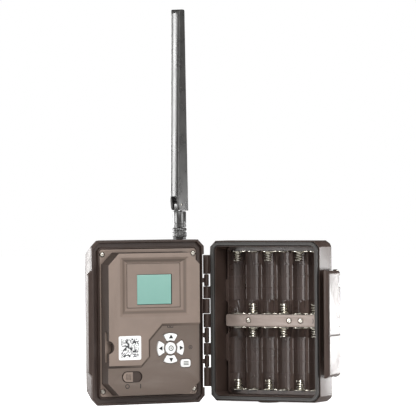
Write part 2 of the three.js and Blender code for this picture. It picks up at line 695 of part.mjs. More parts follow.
// The lower part of the panel lies lower, behind a sloping step that climbs towards the hinge.
function sunkArea() {
  const s = block.slope;
  const { high, low, near, mid, turn, out } = sunk;
  const outline = mirror([
    [-5, high - s], [near - s / 2, high - s], [mid - s, turn[1] - s / 2], [mid - s, turn[0] - s / 2],
    [out - s / 2, low - s], [blockFar + 30, low - s], [blockFar + 30, -20], [-5, -20],
  ]);
  const shape = new THREE.Shape(outline.map(([x, z]) => new THREE.Vector2(x, z)));
  const geometry = new THREE.ExtrudeGeometry(shape, {
    depth: 4, bevelEnabled: true, bevelThickness: block.sink, bevelSize: s, bevelSegments: 1,
  });
  // The far end of the draw keeps its full outline: only the deep end is wanted.
  const upright = place(geometry, 'y', 0, 0);
  upright.translate(0, sunkTop - block.sink, 0);
  return toSolid(upright).intersect(box(-blockFar - 50, 50, roofTop - 2, sunkTop, -30, frontHigh));
}

function arrowKey(direction, grow) {
  const [u, z] = keys.centre;
  const half = keys.halfAngle + THREE.MathUtils.radToDeg(grow / keys.outer);
  return [
    ...circle(-u, z, keys.outer + grow, 8, direction - half, 2 * half),
    ...circle(-u, z, keys.inner - grow, 6, direction + half, -2 * half),
  ];
}

function menuKey(grow) {
  const [u, z] = keys.menuAt;
  const [w, h] = keys.menuSize;
  return roundedRectangle(-u - w / 2 - grow, -u + w / 2 + grow, z - h / 2 - grow, z + h / 2 + grow);
}

// A rectangle with quarter-round corners.
function roundedRectangle(x0, x1, z0, z1, radius = 2.2) {
  const [l, r, b, t] = [x0 + radius, x1 - radius, z0 + radius, z1 - radius];
  return [[r, b, -90], [r, t, 0], [l, t, 90], [l, b, 180]].flatMap(([x, z, start]) => (
    circle(x, z, radius, 4, start, 90)
  ));
}

const keyOutlines = {
  key_right: (grow) => arrowKey(0, grow),
  key_up: (grow) => arrowKey(90, grow),
  key_left: (grow) => arrowKey(180, grow),
  key_down: (grow) => arrowKey(270, grow),
  key_ok: (grow) => circle(-keys.centre[0], keys.centre[1], keys.okRadius + grow, 20),
  key_menu: menuKey,
};

const screenFar = blockFar - screen.fromFar;
const screenHigh = blockHigh - screen.fromTop;
const screenBox = [-screenFar, -screenFar + screen.width, screenHigh - screen.height, screenHigh];
const lcdLeft = -screenFar + screen.lcdFromFar;
const lcdTop = screenHigh - screen.lcdFromTop;
const lcdWindow = [lcdLeft - 1, lcdLeft + screen.lcdWidth + 1, lcdTop - screen.lcdHeight - 1, lcdTop + 1];
const tubFloor = roofTop + screen.depth + screen.floor;
const powerFar = blockFar - power.fromFar;
const powerNear = powerFar - power.width;

function controlPanel() {
  const flange = drawn('y', asFront(pocketIn + gap), block.flangeLevel, block.flangeLevel + block.flange);
  const outside = hullOf([
    { y: block.flangeLevel + 1, outline: blockOutline(0) },
    { y: roofTop, outline: blockOutline(block.draft) },
  ]);
  const inside = drawn('y', blockOutline(block.draft + block.wall), roofBottom, 9);
  const [x0, x1, z0, z1] = screenBox;
  const tub = box(x0 - 1.5, x1 + 1.5, roofTop + 1, tubFloor, z0 - 1.5, z1 + 1);
  const corners = (side, low, high) => [
    [x0 + side, z0 + low], [x1 - side, z0 + low], [x1 - side, z1 - high], [x0 + side, z1 - high],
  ];
  const recess = hullOf([
    { y: roofTop - 0.01, outline: corners(0, 0, 0) },
    { y: roofTop + screen.depth, outline: corners(screen.slopeSide, screen.slopeLow, screen.slopeHigh) },
  ]);
  const window = box(lcdWindow[0], lcdWindow[1], roofTop, tubFloor + 1, lcdWindow[2], lcdWindow[3]);
  const keyHoles = Object.values(keyOutlines).map((outline) => (
    drawn('y', outline(keys.clearance), roofTop - 1, roofBottom + 1)
  ));
  const switchSlot = drawn(
    'y', stadium(-powerFar, -powerNear, power.low, power.high), roofTop - 1, roofBottom + 1,
  );
  // The thumb notch has a wall and a floor of its own, and the card slot runs through both.
  const slotBack = cardTop + card.thick;
  const notchAt = (radius, from, to) => rod('y', -blockFar, card.notchAt, radius, from, to, 24);
  const notchCup = notchAt(card.notch + card.wall, roofTop, slotBack + card.wall).intersect(outside);
  const notch = notchAt(card.notch, roofTop - 1, slotBack);
  const cardSlot = box(
    -blockFar - 2, -blockFar + card.notch + card.wall + 0.1, cardTop, slotBack,
    card.low, card.low + card.width,
  );
  const counterbores = screwPlaces.flatMap(([x, z]) => [
    rod('y', x, z, panelScrew.shank + gap, -1, 4, 12),
    rod('y', x, z, panelScrew.seat, -1, block.flangeLevel + 1, 16),
  ]);
  const shell = join(cut(join(flange, outside), inside), tub, notchCup);
  return cut(shell, recess, window, sunkArea(), ...keyHoles, switchSlot, cardSlot, notch, ...counterbores);
}

asMesh('control_panel', controlPanel(), finish.panel, frontGroup);

screwPlaces.forEach(([x, z], i) => {
  const top = block.flangeLevel - 0.3;
  const screw = join(
    rod('y', x, z, panelScrew.head, top, top + 1, 14),
    rod('y', x, z, panelScrew.shank, top + 0.8, ledgeLevel + panelScrew.grip, 10),
  );
  asMesh(`panel_screw_${i + 1}`, screw, finish.steel, frontGroup);
});

for (const [name, outline] of Object.entries(keyOutlines)) {
  const top = sunkTop - keys.proud;
  asMesh(name, drawn('y', outline(0), top, top + keys.length), finish.white, frontGroup);
}

// The slider's cap stands at the far end of its slot, in the off place.
const capFar = powerFar - power.clearance;
const [capLow, capHigh] = [power.low + power.clearance, power.high - power.clearance];
const capRadius = (capHigh - capLow) / 2;
const capOutline = [
  ...circle(-capFar + capRadius, (capLow + capHigh) / 2, capRadius, 8, 90, 180),
  [-capFar + power.knob, capLow], [-capFar + power.knob, capHigh],
];
const capBack = roofBottom + 1.2;
asMesh('power_slider', drawn(
  'y', capOutline, sunkTop - power.proud, capBack,
), finish.panel, frontGroup);

// Inside the front case.

const pcbFront = roofTop + board.under;
const pcbBack = pcbFront + board.thick;
const pcbOutline = blockOutline(block.draft + block.wall + 1);
asMesh('power_switch', box(
  -powerFar, -powerNear, capBack + gap, pcbFront - gap, power.low, power.high,
), finish.black, frontGroup);

asMesh('lcd_window', box(
  lcdWindow[0] + gap, lcdWindow[1] - gap, tubFloor - 1.2, tubFloor - 0.2,
  lcdWindow[2] + gap, lcdWindow[3] - gap,
), finish.lcd, frontGroup);
asMesh('lcd_module', box(
  lcdWindow[0] - 4, lcdWindow[1] + 4, tubFloor + gap, pcbFront - gap,
  lcdWindow[2] - 5, lcdWindow[3] + 5,
), finish.black, frontGroup);

function domeMat() {
  const sheet = box(-56, -20, pcbFront - gap - 1, pcbFront - gap, 30, 63);
  const keyFoot = sunkTop - keys.proud + keys.length + keys.travel + gap;
  const [u, z] = keys.centre;
  const ring = (keys.inner + keys.outer) / 2;
  const spots = [
    [-u, z], [-u + ring, z], [-u - ring, z], [-u, z + ring], [-u, z - ring],
    [-keys.menuAt[0], keys.menuAt[1]],
  ];
  return join(sheet, ...spots.map(([x, high]) => (
    rod('y', x, high, 2.4, keyFoot, pcbFront - gap - 0.5, 10)
  )));
}

asMesh('dome_mat', domeMat(), finish.rubber, frontGroup);

// The card's room runs on from the panel's slot into the socket.
const socketLeft = -(blockFar - card.notch - card.wall - card.socketGap);
const socketRight = socketLeft + card.socket;
const cardHigh = card.low + card.width;
asMesh('card_socket', cut(
  box(
    socketLeft, socketRight, cardTop - card.socketRoof, pcbFront - gap,
    card.low - card.socketWall, cardHigh + card.socketWall,
  ),
  box(
    socketLeft - 1, socketRight - card.socketBack, cardTop, cardTop + card.thick,
    card.low, cardHigh,
  ),
), finish.steel, frontGroup);

const boardHoles = cut(
  drawn('y', pcbOutline, pcbFront, pcbBack),
  ...screwPlaces.map(([x, z]) => rod('y', x, z, 3, pcbFront - 1, pcbBack + 1, 12)),
);
asMesh('main_board', boardHoles, finish.board, frontGroup);

const glassFace = front.depth + lens.proud;
asMesh('lens_bezel', tube(
  'y', -faceMiddle, lensHigh, lens.bezel, lens.bore, faceIn + 0.5, glassFace, 32,
), finish.black, frontGroup);
asMesh('lens_glass', cone(
  'y', -faceMiddle, lensHigh, lens.bore - gap, lens.bore - gap - 1.4,
  front.depth - 0.5, glassFace - 0.8, 28,
), finish.glass, frontGroup);
asMesh('lens_barrel', tube(
  'y', -faceMiddle, lensHigh, lens.barrel, lens.barrel - 2,
  front.depth - lens.barrelDepth, front.depth - 0.9, 24,
), finish.black, frontGroup);

asMesh('led_window', drawn(
  'y', ledBox(0), front.depth - ledWindow.thick + gap, front.depth,
), finish.glass, frontGroup);

function ledBoard() {
  const boardTop = faceIn - 6;
  const middle = frontHigh - ledWindow.fromTop - ledWindow.height / 2 - 1;
  const [halfWide, halfHigh] = [ledWindow.width / 2 - 6, ledWindow.height / 2 - 4];
  const plate = box(
    -faceMiddle - halfWide, -faceMiddle + halfWide, boardTop, boardTop + 1.6,
    middle - halfHigh, middle + halfHigh,
  );
  const leds = [];
  for (let row = -1; row <= 1; row += 1) {
    for (let column = 0; column < 6; column += 1) {
      const x = -faceMiddle + (column - 2.5) * (halfWide / 3.2);
      leds.push(rod('y', x, middle + row * 6.4, 2.2, boardTop + 1.2, boardTop + 5, 6));
    }
  }
  return join(plate, ...leds);
}

asMesh('led_board', ledBoard(), finish.white, frontGroup);

function pirLens() {
  const [x0, x1] = [-faceMiddle - pir.half, -faceMiddle + pir.half];
  const base = front.depth - pir.seat + gap;
  const rise = front.depth + pir.bulge - base;
  const arc = Array.from({ length: 13 }, (_, i) => {
    const t = (i / 12) * 2 - 1;
    return [-faceMiddle - t * pir.half, base + rise * Math.sqrt(Math.max(1 - 0.8 * t * t, 0))];
  });
  const dome = drawn('z', [[x0, base], [x1, base], ...arc], pir.high - pir.half, pir.high + pir.half);
  return dome.intersect(drawn('y', pirBox(0), base - 1, base + rise + 1));
}

asMesh('pir_lens', pirLens(), finish.white, frontGroup);
asMesh('pir_sensor', join(
  rod('y', -faceMiddle, pir.high, 4.6, faceIn - 8, faceIn - 4, 20),
  rod('y', -faceMiddle, pir.high, 5.4, faceIn - 8, faceIn - 7.4, 20),
), finish.steel, frontGroup);

// Antenna.

const caseTop = frontHigh;
const collarTop = caseTop + gap + antenna.collarThick;
const nutLow = collarTop + gap;
const nutTop = nutLow + antenna.nutHigh;
const jackTop = caseTop + antenna.jackHigh;
const neckLow = nutTop + gap;
const neckTop = neckLow + antenna.neckHigh;
const antennaGroup = new THREE.Group();
antennaGroup.position.set(jackX, antenna.depth, 0);
// In this group +X is the way the narrow face of the blade looks, and the way it folds.
antennaGroup.rotation.z = THREE.MathUtils.degToRad(antenna.faceAzimuth - 90) - frontGroup.rotation.z;
frontGroup.add(antennaGroup);

asMesh('antenna_jack', cut(join(
  rod('z', 0, 0, antenna.jackRadius, caseTop - 17, jackTop, 20),
  rod('z', 0, 0, antenna.collar, caseTop + gap, collarTop, 24),
), rod('z', 0, 0, 1, jackTop - 4, jackTop + 1, 8)), finish.brass, antennaGroup);

function knurled(radius, depth, count) {
  return Array.from({ length: count * 2 }, (_, i) => {
    const angle = (Math.PI * i) / count;
    const r = i % 2 === 0 ? radius : radius - depth;
    return [r * Math.cos(angle), r * Math.sin(angle)];
  });
}

asMesh('antenna_nut', cut(
  drawn('z', knurled(antenna.nutRadius, 0.5, 20), nutLow, nutTop),
  rod('z', 0, 0, antenna.jackRadius + gap, nutLow - 1, jackTop + gap, 20),
  rod('z', 0, 0, antenna.stemRadius + gap, nutLow, nutTop + 1, 20),
), finish.black, antennaGroup);

const pivotHigh = neckTop + antenna.pivotRise;
const bladeLow = neckTop + 0.5;

function antennaNeck() {
  const stem = rod('z', 0, 0, antenna.stemRadius, jackTop + 0.5, neckLow + 0.5, 16);
  const body = rod('z', 0, 0, antenna.neckRadius, neckLow, neckTop, 24);
  const r = antenna.tongueRadius;
  const [x, half] = [antenna.pivotOffset, antenna.tongueThick / 2];
  const tongue = drawn('y', [
    [x - r, neckTop - 0.5], [x + 2.2, neckTop - 0.5], [x + r, pivotHigh - r],
    ...circle(x, pivotHigh, r, 10, 0, 180),
  ], -half, half);
  return cut(join(stem, body, tongue), rod('y', x, pivotHigh, pinHole, -9, 9, 12));
}

asMesh('antenna_neck', antennaNeck(), finish.black, antennaGroup);

function antennaBlade() {
  const x = antenna.pivotOffset;
  const [low, high] = [bladeLow, bladeLow + antenna.bladeHigh];
  const [a, b] = [antenna.widthLow / 2, antenna.widthHigh / 2];
  const clear = pivotHigh - bladeLow; // the foot turns past the neck inside this radius
  const outline = [
    [-a, low + 1], [-a + 1, low], [x, low],
    ...circle(x, pivotHigh, clear, 6, 270, 48).slice(1), [a, pivotHigh + 6],
    ...circle(b - 3, high - 3, 3, 5, 0, 90), ...circle(-a + 3.5, high - 3.5, 3.5, 5, 90, 90),
  ];
  const blade = drawn('y', outline, -antenna.bladeThick / 2, antenna.bladeThick / 2);
  const half = antenna.slotWidth / 2;
  const slot = box(-20, 20, -half, half, low - 1, low + antenna.slotHigh);
  return cut(blade, slot, rod('y', x, pivotHigh, pinHole, -9, 9, 12));
}

asMesh('antenna_blade', antennaBlade(), finish.black, antennaGroup);
asMesh('antenna_pivot', rod(
  'y', antenna.pivotOffset, pivotHigh, pinRadius,
  -antenna.bladeThick / 2 + gap, antenna.bladeThick / 2 - gap, 12,
), finish.steel, antennaGroup);

// Stand it on its base.

// The origin goes to the middle of the footprint, on the surface that the camera stands on.
const whole = new THREE.Box3().setFromObject(camera, true);
camera.position.set(-(whole.min.x + whole.max.x) / 2, -(whole.min.y + whole.max.y) / 2, -whole.min.z);
camera.name = 'trail_camera';

export default camera;
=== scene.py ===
import json
import math

import bmesh
import bpy
import numpy as np
from mathutils import Matrix, Vector

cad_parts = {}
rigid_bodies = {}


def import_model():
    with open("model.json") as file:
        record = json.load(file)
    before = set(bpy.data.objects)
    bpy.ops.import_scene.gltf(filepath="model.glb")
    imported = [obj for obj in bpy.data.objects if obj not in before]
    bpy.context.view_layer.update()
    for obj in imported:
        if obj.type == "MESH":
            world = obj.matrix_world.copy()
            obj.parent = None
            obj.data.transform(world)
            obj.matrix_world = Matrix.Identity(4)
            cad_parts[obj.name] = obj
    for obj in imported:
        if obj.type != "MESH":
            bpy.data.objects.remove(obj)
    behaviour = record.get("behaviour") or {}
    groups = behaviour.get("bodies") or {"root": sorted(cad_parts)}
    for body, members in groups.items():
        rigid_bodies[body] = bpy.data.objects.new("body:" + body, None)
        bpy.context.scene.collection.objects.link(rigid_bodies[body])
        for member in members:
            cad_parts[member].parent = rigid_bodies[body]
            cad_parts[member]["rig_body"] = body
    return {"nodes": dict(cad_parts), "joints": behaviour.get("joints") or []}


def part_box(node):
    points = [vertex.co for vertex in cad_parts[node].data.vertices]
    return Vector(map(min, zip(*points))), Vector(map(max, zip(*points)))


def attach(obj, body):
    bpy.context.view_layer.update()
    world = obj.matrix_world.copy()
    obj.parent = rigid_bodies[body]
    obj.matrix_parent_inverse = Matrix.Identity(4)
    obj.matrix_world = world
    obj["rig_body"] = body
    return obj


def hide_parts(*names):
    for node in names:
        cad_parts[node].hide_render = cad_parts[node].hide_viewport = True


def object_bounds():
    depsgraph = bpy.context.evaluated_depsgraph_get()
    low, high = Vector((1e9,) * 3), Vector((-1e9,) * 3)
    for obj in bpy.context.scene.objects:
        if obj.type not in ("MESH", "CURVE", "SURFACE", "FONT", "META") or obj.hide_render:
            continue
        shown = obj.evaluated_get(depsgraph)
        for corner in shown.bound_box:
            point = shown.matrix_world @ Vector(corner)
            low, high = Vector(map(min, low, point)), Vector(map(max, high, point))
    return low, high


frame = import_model()
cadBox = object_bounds()
nodes = frame["nodes"]
joints = {joint["name"]: joint for joint in frame["joints"]}
mm = 0.001
fullTurn = 2 * math.pi


# A sub-assembly's own frame: a turn about the upright, then a shift to its place on plan.
def turnedFrame(place, degrees):
    shift = Matrix.Translation((place[0], place[1], 0))
    return shift @ Matrix.Rotation(math.radians(degrees), 4, "Z")


# In the front case's frame the case runs from the hinge line towards -X and its panel looks to -Y.
hinge = joints["case_hinge"]
tiltAxis = joints["antenna_tilt"]["axis"]
bladeYaw = math.degrees(math.atan2(tiltAxis[1], tiltAxis[0])) - 90
rearFrame = turnedFrame(hinge["pos_m"], 0)
frontFrame = turnedFrame(hinge["pos_m"], -hinge["range_deg"][0])
antennaFrame = turnedFrame(joints["antenna_swivel"]["pos_m"], bladeYaw)

# A piece drawn on a plan (a, b) and raised along c: `facing` turns a, b, c to x, z, -y, and
# `backward`, for the sides that look away, turns them to -x, z, y.
facing = Matrix(((1, 0, 0, 0), (0, 0, -1, 0), (0, 1, 0, 0), (0, 0, 0, 1)))
backward = Matrix(((-1, 0, 0, 0), (0, 0, 1, 0), (0, 1, 0, 0), (0, 0, 0, 1)))
frontPlan = frontFrame @ facing
frontFar = frontFrame @ backward
rearPlan = rearFrame @ facing
print("frame loaded,", len(nodes), "CAD nodes")


# The box of a CAD node in its sub-assembly's own frame, in millimetres.
def boxIn(node, place):
    points = np.empty(len(nodes[node].data.vertices) * 3)
    nodes[node].data.vertices.foreach_get("co", points)
    back = np.array(place.inverted())
    own = (points.reshape(-1, 3) @ back[:3, :3].T + back[:3, 3]) / mm
    return own.min(0), own.max(0)


def bodyOf(node):
    return nodes[node]["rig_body"]


# Shapes: each gives (points, faces), in millimetres of its own frame.

# Quads between the rows and columns of a grid of points; a wrapped grid closes on itself.
def gridFaces(rows, columns, wrapRows=False, wrapColumns=False):
    index = np.arange(rows * columns).reshape(rows, columns)
    if wrapRows:
        index = np.vstack([index, index[:1]])
    if wrapColumns:
        index = np.hstack([index, index[:, :1]])
    corners = [index[:-1, :-1], index[:-1, 1:], index[1:, 1:], index[1:, :-1]]
    return np.stack(corners, -1).reshape(-1, 4)


def asGrid(points, wrapRows=False, wrapColumns=True):
    rows, columns = points.shape[:2]
    return points.reshape(-1, 3), gridFaces(rows, columns, wrapRows, wrapColumns)


# A profile of (radius, height) turned about the upright: (r cos t, r sin t, h).
def turned(profile, steps=48, centre=(0, 0), closed=False):
    profile = np.array(profile, float)
    angle = np.linspace(0, fullTurn, steps, endpoint=False)
    radius = profile[:, :1]
    x = centre[0] + radius * np.cos(angle)
    y = centre[1] + radius * np.sin(angle)
    return asGrid(np.stack([x, y, np.broadcast_to(profile[:, 1:], x.shape)], -1), wrapRows=closed)


# A section away from the upright, turned into a closed ring.
def latheRing(section, steps, centre=(0, 0)):
    return turned(section, steps, centre, closed=True)


# A closed outline with its corners rounded: each corner p between a and b becomes the curve
# (1-s)^2 a' + 2 s (1-s) p + s^2 b', where a' and b' lie `reach` from p along its two edges.
def rounded(outline, reach, steps=6):
    corner = np.array(outline, float)
    ends = []
    for neighbour in (np.roll(corner, 1, 0), np.roll(corner, -1, 0)):
        edge = neighbour - corner
        length = np.linalg.norm(edge, axis=1, keepdims=True)
        ends.append(corner + edge / length * np.minimum(reach, length * 0.49))
    s = np.linspace(0, 1, steps)[None, :, None]
    before, after = (end[:, None] for end in ends)
    curve = (1 - s) ** 2 * before + 2 * s * (1 - s) * corner[:, None] + s**2 * after
    return curve.reshape(-1, 2)


# Even steps along a closed outline, each point then averaged with its neighbours some times.
def softened(outline, count=96, passes=8):
    loop = np.vstack([outline, outline[:1]])
    along = np.concatenate([[0], np.cumsum(np.linalg.norm(np.diff(loop, axis=0), axis=1))])
    at = np.linspace(0, along[-1], count, endpoint=False)
    even = np.stack([np.interp(at, along, loop[:, i]) for i in range(2)], -1)
    for _ in range(passes):
        even = (np.roll(even, 1, 0) + 2 * even + np.roll(even, -1, 0)) / 4
    return even


def rectangle(low, high):
    return [(low[0], low[1]), (high[0], low[1]), (high[0], high[1]), (low[0], high[1])]


def cutRectangle(low, high, cut):
    (a, b), (c, d) = low, high
    lower = [(a + cut, b), (c - cut, b), (c, b + cut), (c, d - cut)]
    return lower + [(c - cut, d), (a + cut, d), (a, d - cut), (a, b + cut)]


def arc(radius, start, end, steps=16, centre=(0, 0)):
    angle = np.radians(np.linspace(start, end, steps))
    return np.stack([centre[0] + radius * np.cos(angle), centre[1] + radius * np.sin(angle)], -1)


# The outward normals of a closed outline, whichever way it runs.
def outward(outline):
    tangent = np.roll(outline, -1, 0) - np.roll(outline, 1, 0)
    normal = np.stack([tangent[:, 1], -tangent[:, 0]], -1)
    normal /= np.linalg.norm(normal, axis=1, keepdims=True) + 1e-12
    ahead = np.roll(outline, -1, 0)
    area = np.sum(outline[:, 0] * ahead[:, 1] - ahead[:, 0] * outline[:, 1])
    return normal * np.sign(area)


# A slab of an outline from `low` to `high`: its edges are quarter rounds of radius `edge`, and its
# top rises by `dome` times 1 - s^2, where s runs from 0 at the middle to 1 at the rim.
def slab(outline, low, high, edge=0.3, dome=0.0, steps=4):
    outline = np.array(outline, float)
    normal = outward(outline)
    turn = np.linspace(0, math.pi / 2, steps)
    insets = np.concatenate([edge * (1 - np.sin(turn)), edge * (1 - np.cos(turn))])
    levels = np.concatenate([low + edge * (1 - np.cos(turn)), high - edge * (1 - np.sin(turn))])
    rings = outline[None] - insets[:, None, None] * normal[None]
    shares = np.linspace(1, 0, 6)[1:] if dome else np.array([0.96, 0.0])
    shrink = shares[:, None, None]
    middle = rings[-1].mean(0)
    top = middle + (rings[-1] - middle)[None] * shrink
    rise = high + dome * (1 - shrink[:, 0, 0] ** 2)
    start = np.broadcast_to(middle, rings[:1].shape)
    plan = np.concatenate([start, rings, top])
    level = np.concatenate([[low], levels, rise])
    height = np.broadcast_to(level[:, None, None], plan.shape[:2] + (1,))
    return asGrid(np.concatenate([plan, height], -1))


# A ring of an outline: the section's (offset, level) points are carried round it, offset outwards.
def ring(outline, section):
    outline = np.array(outline, float)
    section = np.array(section, float)
    plan = outline[:, None] + outward(outline)[:, None] * section[None, :, :1]
    height = np.broadcast_to(section[None, :, 1:], plan.shape[:2] + (1,))
    return asGrid(np.concatenate([plan, height], -1), wrapRows=True)


# A round wire along a path: a circle stands square to the path at each of its points.
def wire(path, radius, sides=8):
    path = np.array(path, float)
    along = np.gradient(path, axis=0)
    along /= np.linalg.norm(along, axis=1, keepdims=True)
    aside = np.cross(along, [0.0, 0.0, 1.0])
    aside[np.linalg.norm(aside, axis=1) < 1e-6] = [1.0, 0.0, 0.0]
    aside /= np.linalg.norm(aside, axis=1, keepdims=True)
    over = np.cross(aside, along)
    angle = np.linspace(0, fullTurn, sides, endpoint=False)[None, :, None]
    rows = path[:, None] + radius * (np.cos(angle) * aside[:, None] + np.sin(angle) * over[:, None])
    ends = [np.broadcast_to(path[i], (1, sides, 3)) for i in (0, -1)]
    return asGrid(np.concatenate([ends[0], rows, ends[1]]))


def moved(shape, matrix):
    points, faces = shape
    turn = np.array(matrix)
    return points @ turn[:3, :3].T + turn[:3, 3], faces


def shifted(shape, x=0.0, y=0.0, z=0.0):
    return shape[0] + np.array([x, y, z]), shape[1]


def together(*shapes):
    starts = np.cumsum([0] + [len(points) for points, _ in shapes[:-1]])
    points = np.concatenate([points for points, _ in shapes])
    return points, np.concatenate([faces + start for (_, faces), start in zip(shapes, starts)])


# The export slot of each look; the label's paper has none.
slots = {
    "shellBrown": "brown_shell", "panelBrown": "brown_panel", "barBrown": "bar", "trayBrown": "tray",
    "gasketGrey": "gasket", "softRubber": "rubber", "keyWhite": "white_keys", "antennaBlack": "antenna",
    "blackPlastic": "black_plastic", "lensMilk": "white_lens", "boardWhite": "white_board",
    "boardGreen": "board", "printInk": "black_plastic", "greyInk": "black_plastic", "brass": "brass",
    "nickel": "nickel", "steel": "steel", "displayFace": "display", "coatedGlass": "lens_glass",
    "clearEmitter": "white_board", "darkWindow": "dark_window",
}


# A finished piece in its place: doubles merged, faces turned outwards, smooth up to `smooth` degrees.
def addPiece(name, shape, place, body, look, stands=(), slot=None, smooth=40):
    points, faces = shape
    mesh = bpy.data.meshes.new(name)
    mesh.from_pydata((np.array(points) * mm).tolist(), [], faces.tolist())
    work = bmesh.new()
    work.from_mesh(mesh)
    bmesh.ops.remove_doubles(work, verts=work.verts, dist=1e-7)
    bmesh.ops.dissolve_degenerate(work, edges=work.edges, dist=1e-8)
    bmesh.ops.transform(work, matrix=place, verts=work.verts)
    bmesh.ops.recalc_face_normals(work, faces=work.faces)
    work.to_mesh(mesh)
    work.free()
    mesh.shade_smooth()
    mesh.set_sharp_from_angle(angle=math.radians(smooth))
    mesh.materials.append(looks[look])
    piece = bpy.data.objects.new(name, mesh)
    bpy.context.scene.collection.objects.link(piece)
    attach(piece, body)
    if stands:
        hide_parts(*stands)
    slot = slots.get(look) if slot is None else slot
    return piece


# Shader groups: each is built once and set with its own values in every material.

def addNode(tree, kind, **settings):
    node = tree.nodes.new(kind)
    for key, value in settings.items():
        if key in node.inputs:
            node.inputs[key].default_value = value
        else:
            setattr(node, key, value)
    return node


def newGroup(name, inputs, outputs):
    group = bpy.data.node_groups.new(name, "ShaderNodeTree")
    for label, kind, value in inputs:
        socket = group.interface.new_socket(label, in_out="INPUT", socket_type=kind)
        socket.default_value = value
    for label, kind in outputs:
        group.interface.new_socket(label, in_out="OUTPUT", socket_type=kind)
    return group, group.nodes.new("NodeGroupInput"), group.nodes.new("NodeGroupOutput")


def noiseAt(tree, vector, scale, detail=3.0, roughness=0.55):
    node = addNode(tree, "ShaderNodeTexNoise", noise_dimensions="3D")
    node.inputs["Detail"].default_value = detail
    node.inputs["Roughness"].default_value = roughness
    tree.links.new(vector, node.inputs["Vector"])
    if isinstance(scale, (int, float)):
        node.inputs["Scale"].default_value = scale
    else:
        tree.links.new(scale, node.inputs["Scale"])
    return node.outputs["Fac"]


def maths(tree, operation, a, b=0.0, clamp=False):
    node = addNode(tree, "ShaderNodeMath", operation=operation, use_clamp=clamp)
    for socket, value in zip(node.inputs, (a, b)):
        if isinstance(value, (int, float)):
            socket.default_value = value
        else:
            tree.links.new(value, socket)
    return node.outputs[0]


def ramp(tree, value, low, high, outLow=0.0, outHigh=1.0):
    node = addNode(tree, "ShaderNodeMapRange", clamp=True)
    tree.links.new(value, node.inputs[0])
    for socket, number in zip(list(node.inputs)[1:5], (low, high, outLow, outHigh)):
        socket.default_value = number
    return node.outputs[0]


def mixed(tree, factor, a, b):
    node = addNode(tree, "ShaderNodeMix", data_type="RGBA")
    for socket, value in zip((node.inputs[0], node.inputs[6], node.inputs[7]), (factor, a, b)):
        if isinstance(value, (int, float, tuple)):
            socket.default_value = value
        else:
            tree.links.new(value, socket)
    return node.outputs[2]


# Spark-eroded grain: fine noise and small cells for the height, slow noise for the tone.
def buildMouldGrain():
    tree, given, out = newGroup(
        "mouldGrain",
        [("Grain scale", "NodeSocketFloat", 1800.0), ("Mottle scale", "NodeSocketFloat", 60.0)],
        [("Height", "NodeSocketFloat"), ("Mottle", "NodeSocketFloat"), ("Speck", "NodeSocketFloat")],
    )
    place = addNode(tree, "ShaderNodeTexCoord").outputs["Object"]
    fine = noiseAt(tree, place, given.outputs["Grain scale"], 4.0, 0.6)
    cells = addNode(tree, "ShaderNodeTexVoronoi", feature="SMOOTH_F1")
    tree.links.new(place, cells.inputs["Vector"])
    tree.links.new(given.outputs["Grain scale"], cells.inputs["Scale"])
    pits = maths(tree, "MULTIPLY", cells.outputs["Distance"], 0.4)
    height = maths(tree, "ADD", maths(tree, "MULTIPLY", fine, 0.6), pits)
    mottle = noiseAt(tree, place, given.outputs["Mottle scale"], 3.0, 0.5)
    tree.links.new(height, out.inputs["Height"])
    tree.links.new(ramp(tree, mottle, 0.3, 0.7), out.inputs["Mottle"])
    tree.links.new(ramp(tree, fine, 0.52, 0.7), out.inputs["Speck"])
    return tree


# Wear where the surface turns sharply: 1 minus the cosine between the true normal and the
# normal rounded over `Width`, broken up by noise.
def buildEdgeWear():
    tree, given, out = newGroup(
        "edgeWear",
        [("Width", "NodeSocketFloat", 0.0006), ("Breakup scale", "NodeSocketFloat", 300.0)],
        [("Mask", "NodeSocketFloat")],
    )
    soft = addNode(tree, "ShaderNodeBevel", samples=6)
    tree.links.new(given.outputs["Width"], soft.inputs["Radius"])
    sharp = addNode(tree, "ShaderNodeNewGeometry").outputs["Normal"]
    cosine = addNode(tree, "ShaderNodeVectorMath", operation="DOT_PRODUCT")
    tree.links.new(soft.outputs["Normal"], cosine.inputs[0])
    tree.links.new(sharp, cosine.inputs[1])
    turn = ramp(tree, cosine.outputs["Value"], 1.0, 0.85)
    place = addNode(tree, "ShaderNodeTexCoord").outputs["Object"]
    breakup = noiseAt(tree, place, given.outputs["Breakup scale"], 4.0, 0.6)
    broken = ramp(tree, breakup, 0.4, 0.62, 0.15, 1.0)
    tree.links.new(maths(tree, "MULTIPLY", turn, broken, True), out.inputs["Mask"])
    return tree


# Dust that has settled: more on faces that look up, in soft patches.
def buildDust():
    tree, given, out = newGroup(
        "settledDust", [("Patch scale", "NodeSocketFloat", 45.0)], [("Mask", "NodeSocketFloat")]
    )
    normal = addNode(tree, "ShaderNodeSeparateXYZ")
    tree.links.new(addNode(tree, "ShaderNodeNewGeometry").outputs["Normal"], normal.inputs[0])
    up = ramp(tree, normal.outputs["Z"], -0.2, 1.0)
    place = addNode(tree, "ShaderNodeTexCoord").outputs["Object"]
    patch = ramp(tree, noiseAt(tree, place, given.outputs["Patch scale"], 5.0, 0.65), 0.42, 0.7)
    fine = noiseAt(tree, place, 2600.0, 2.0, 0.5)
    settled = maths(tree, "MULTIPLY", up, patch)
    tree.links.new(maths(tree, "MULTIPLY", settled, fine, True), out.inputs["Mask"])
    return tree


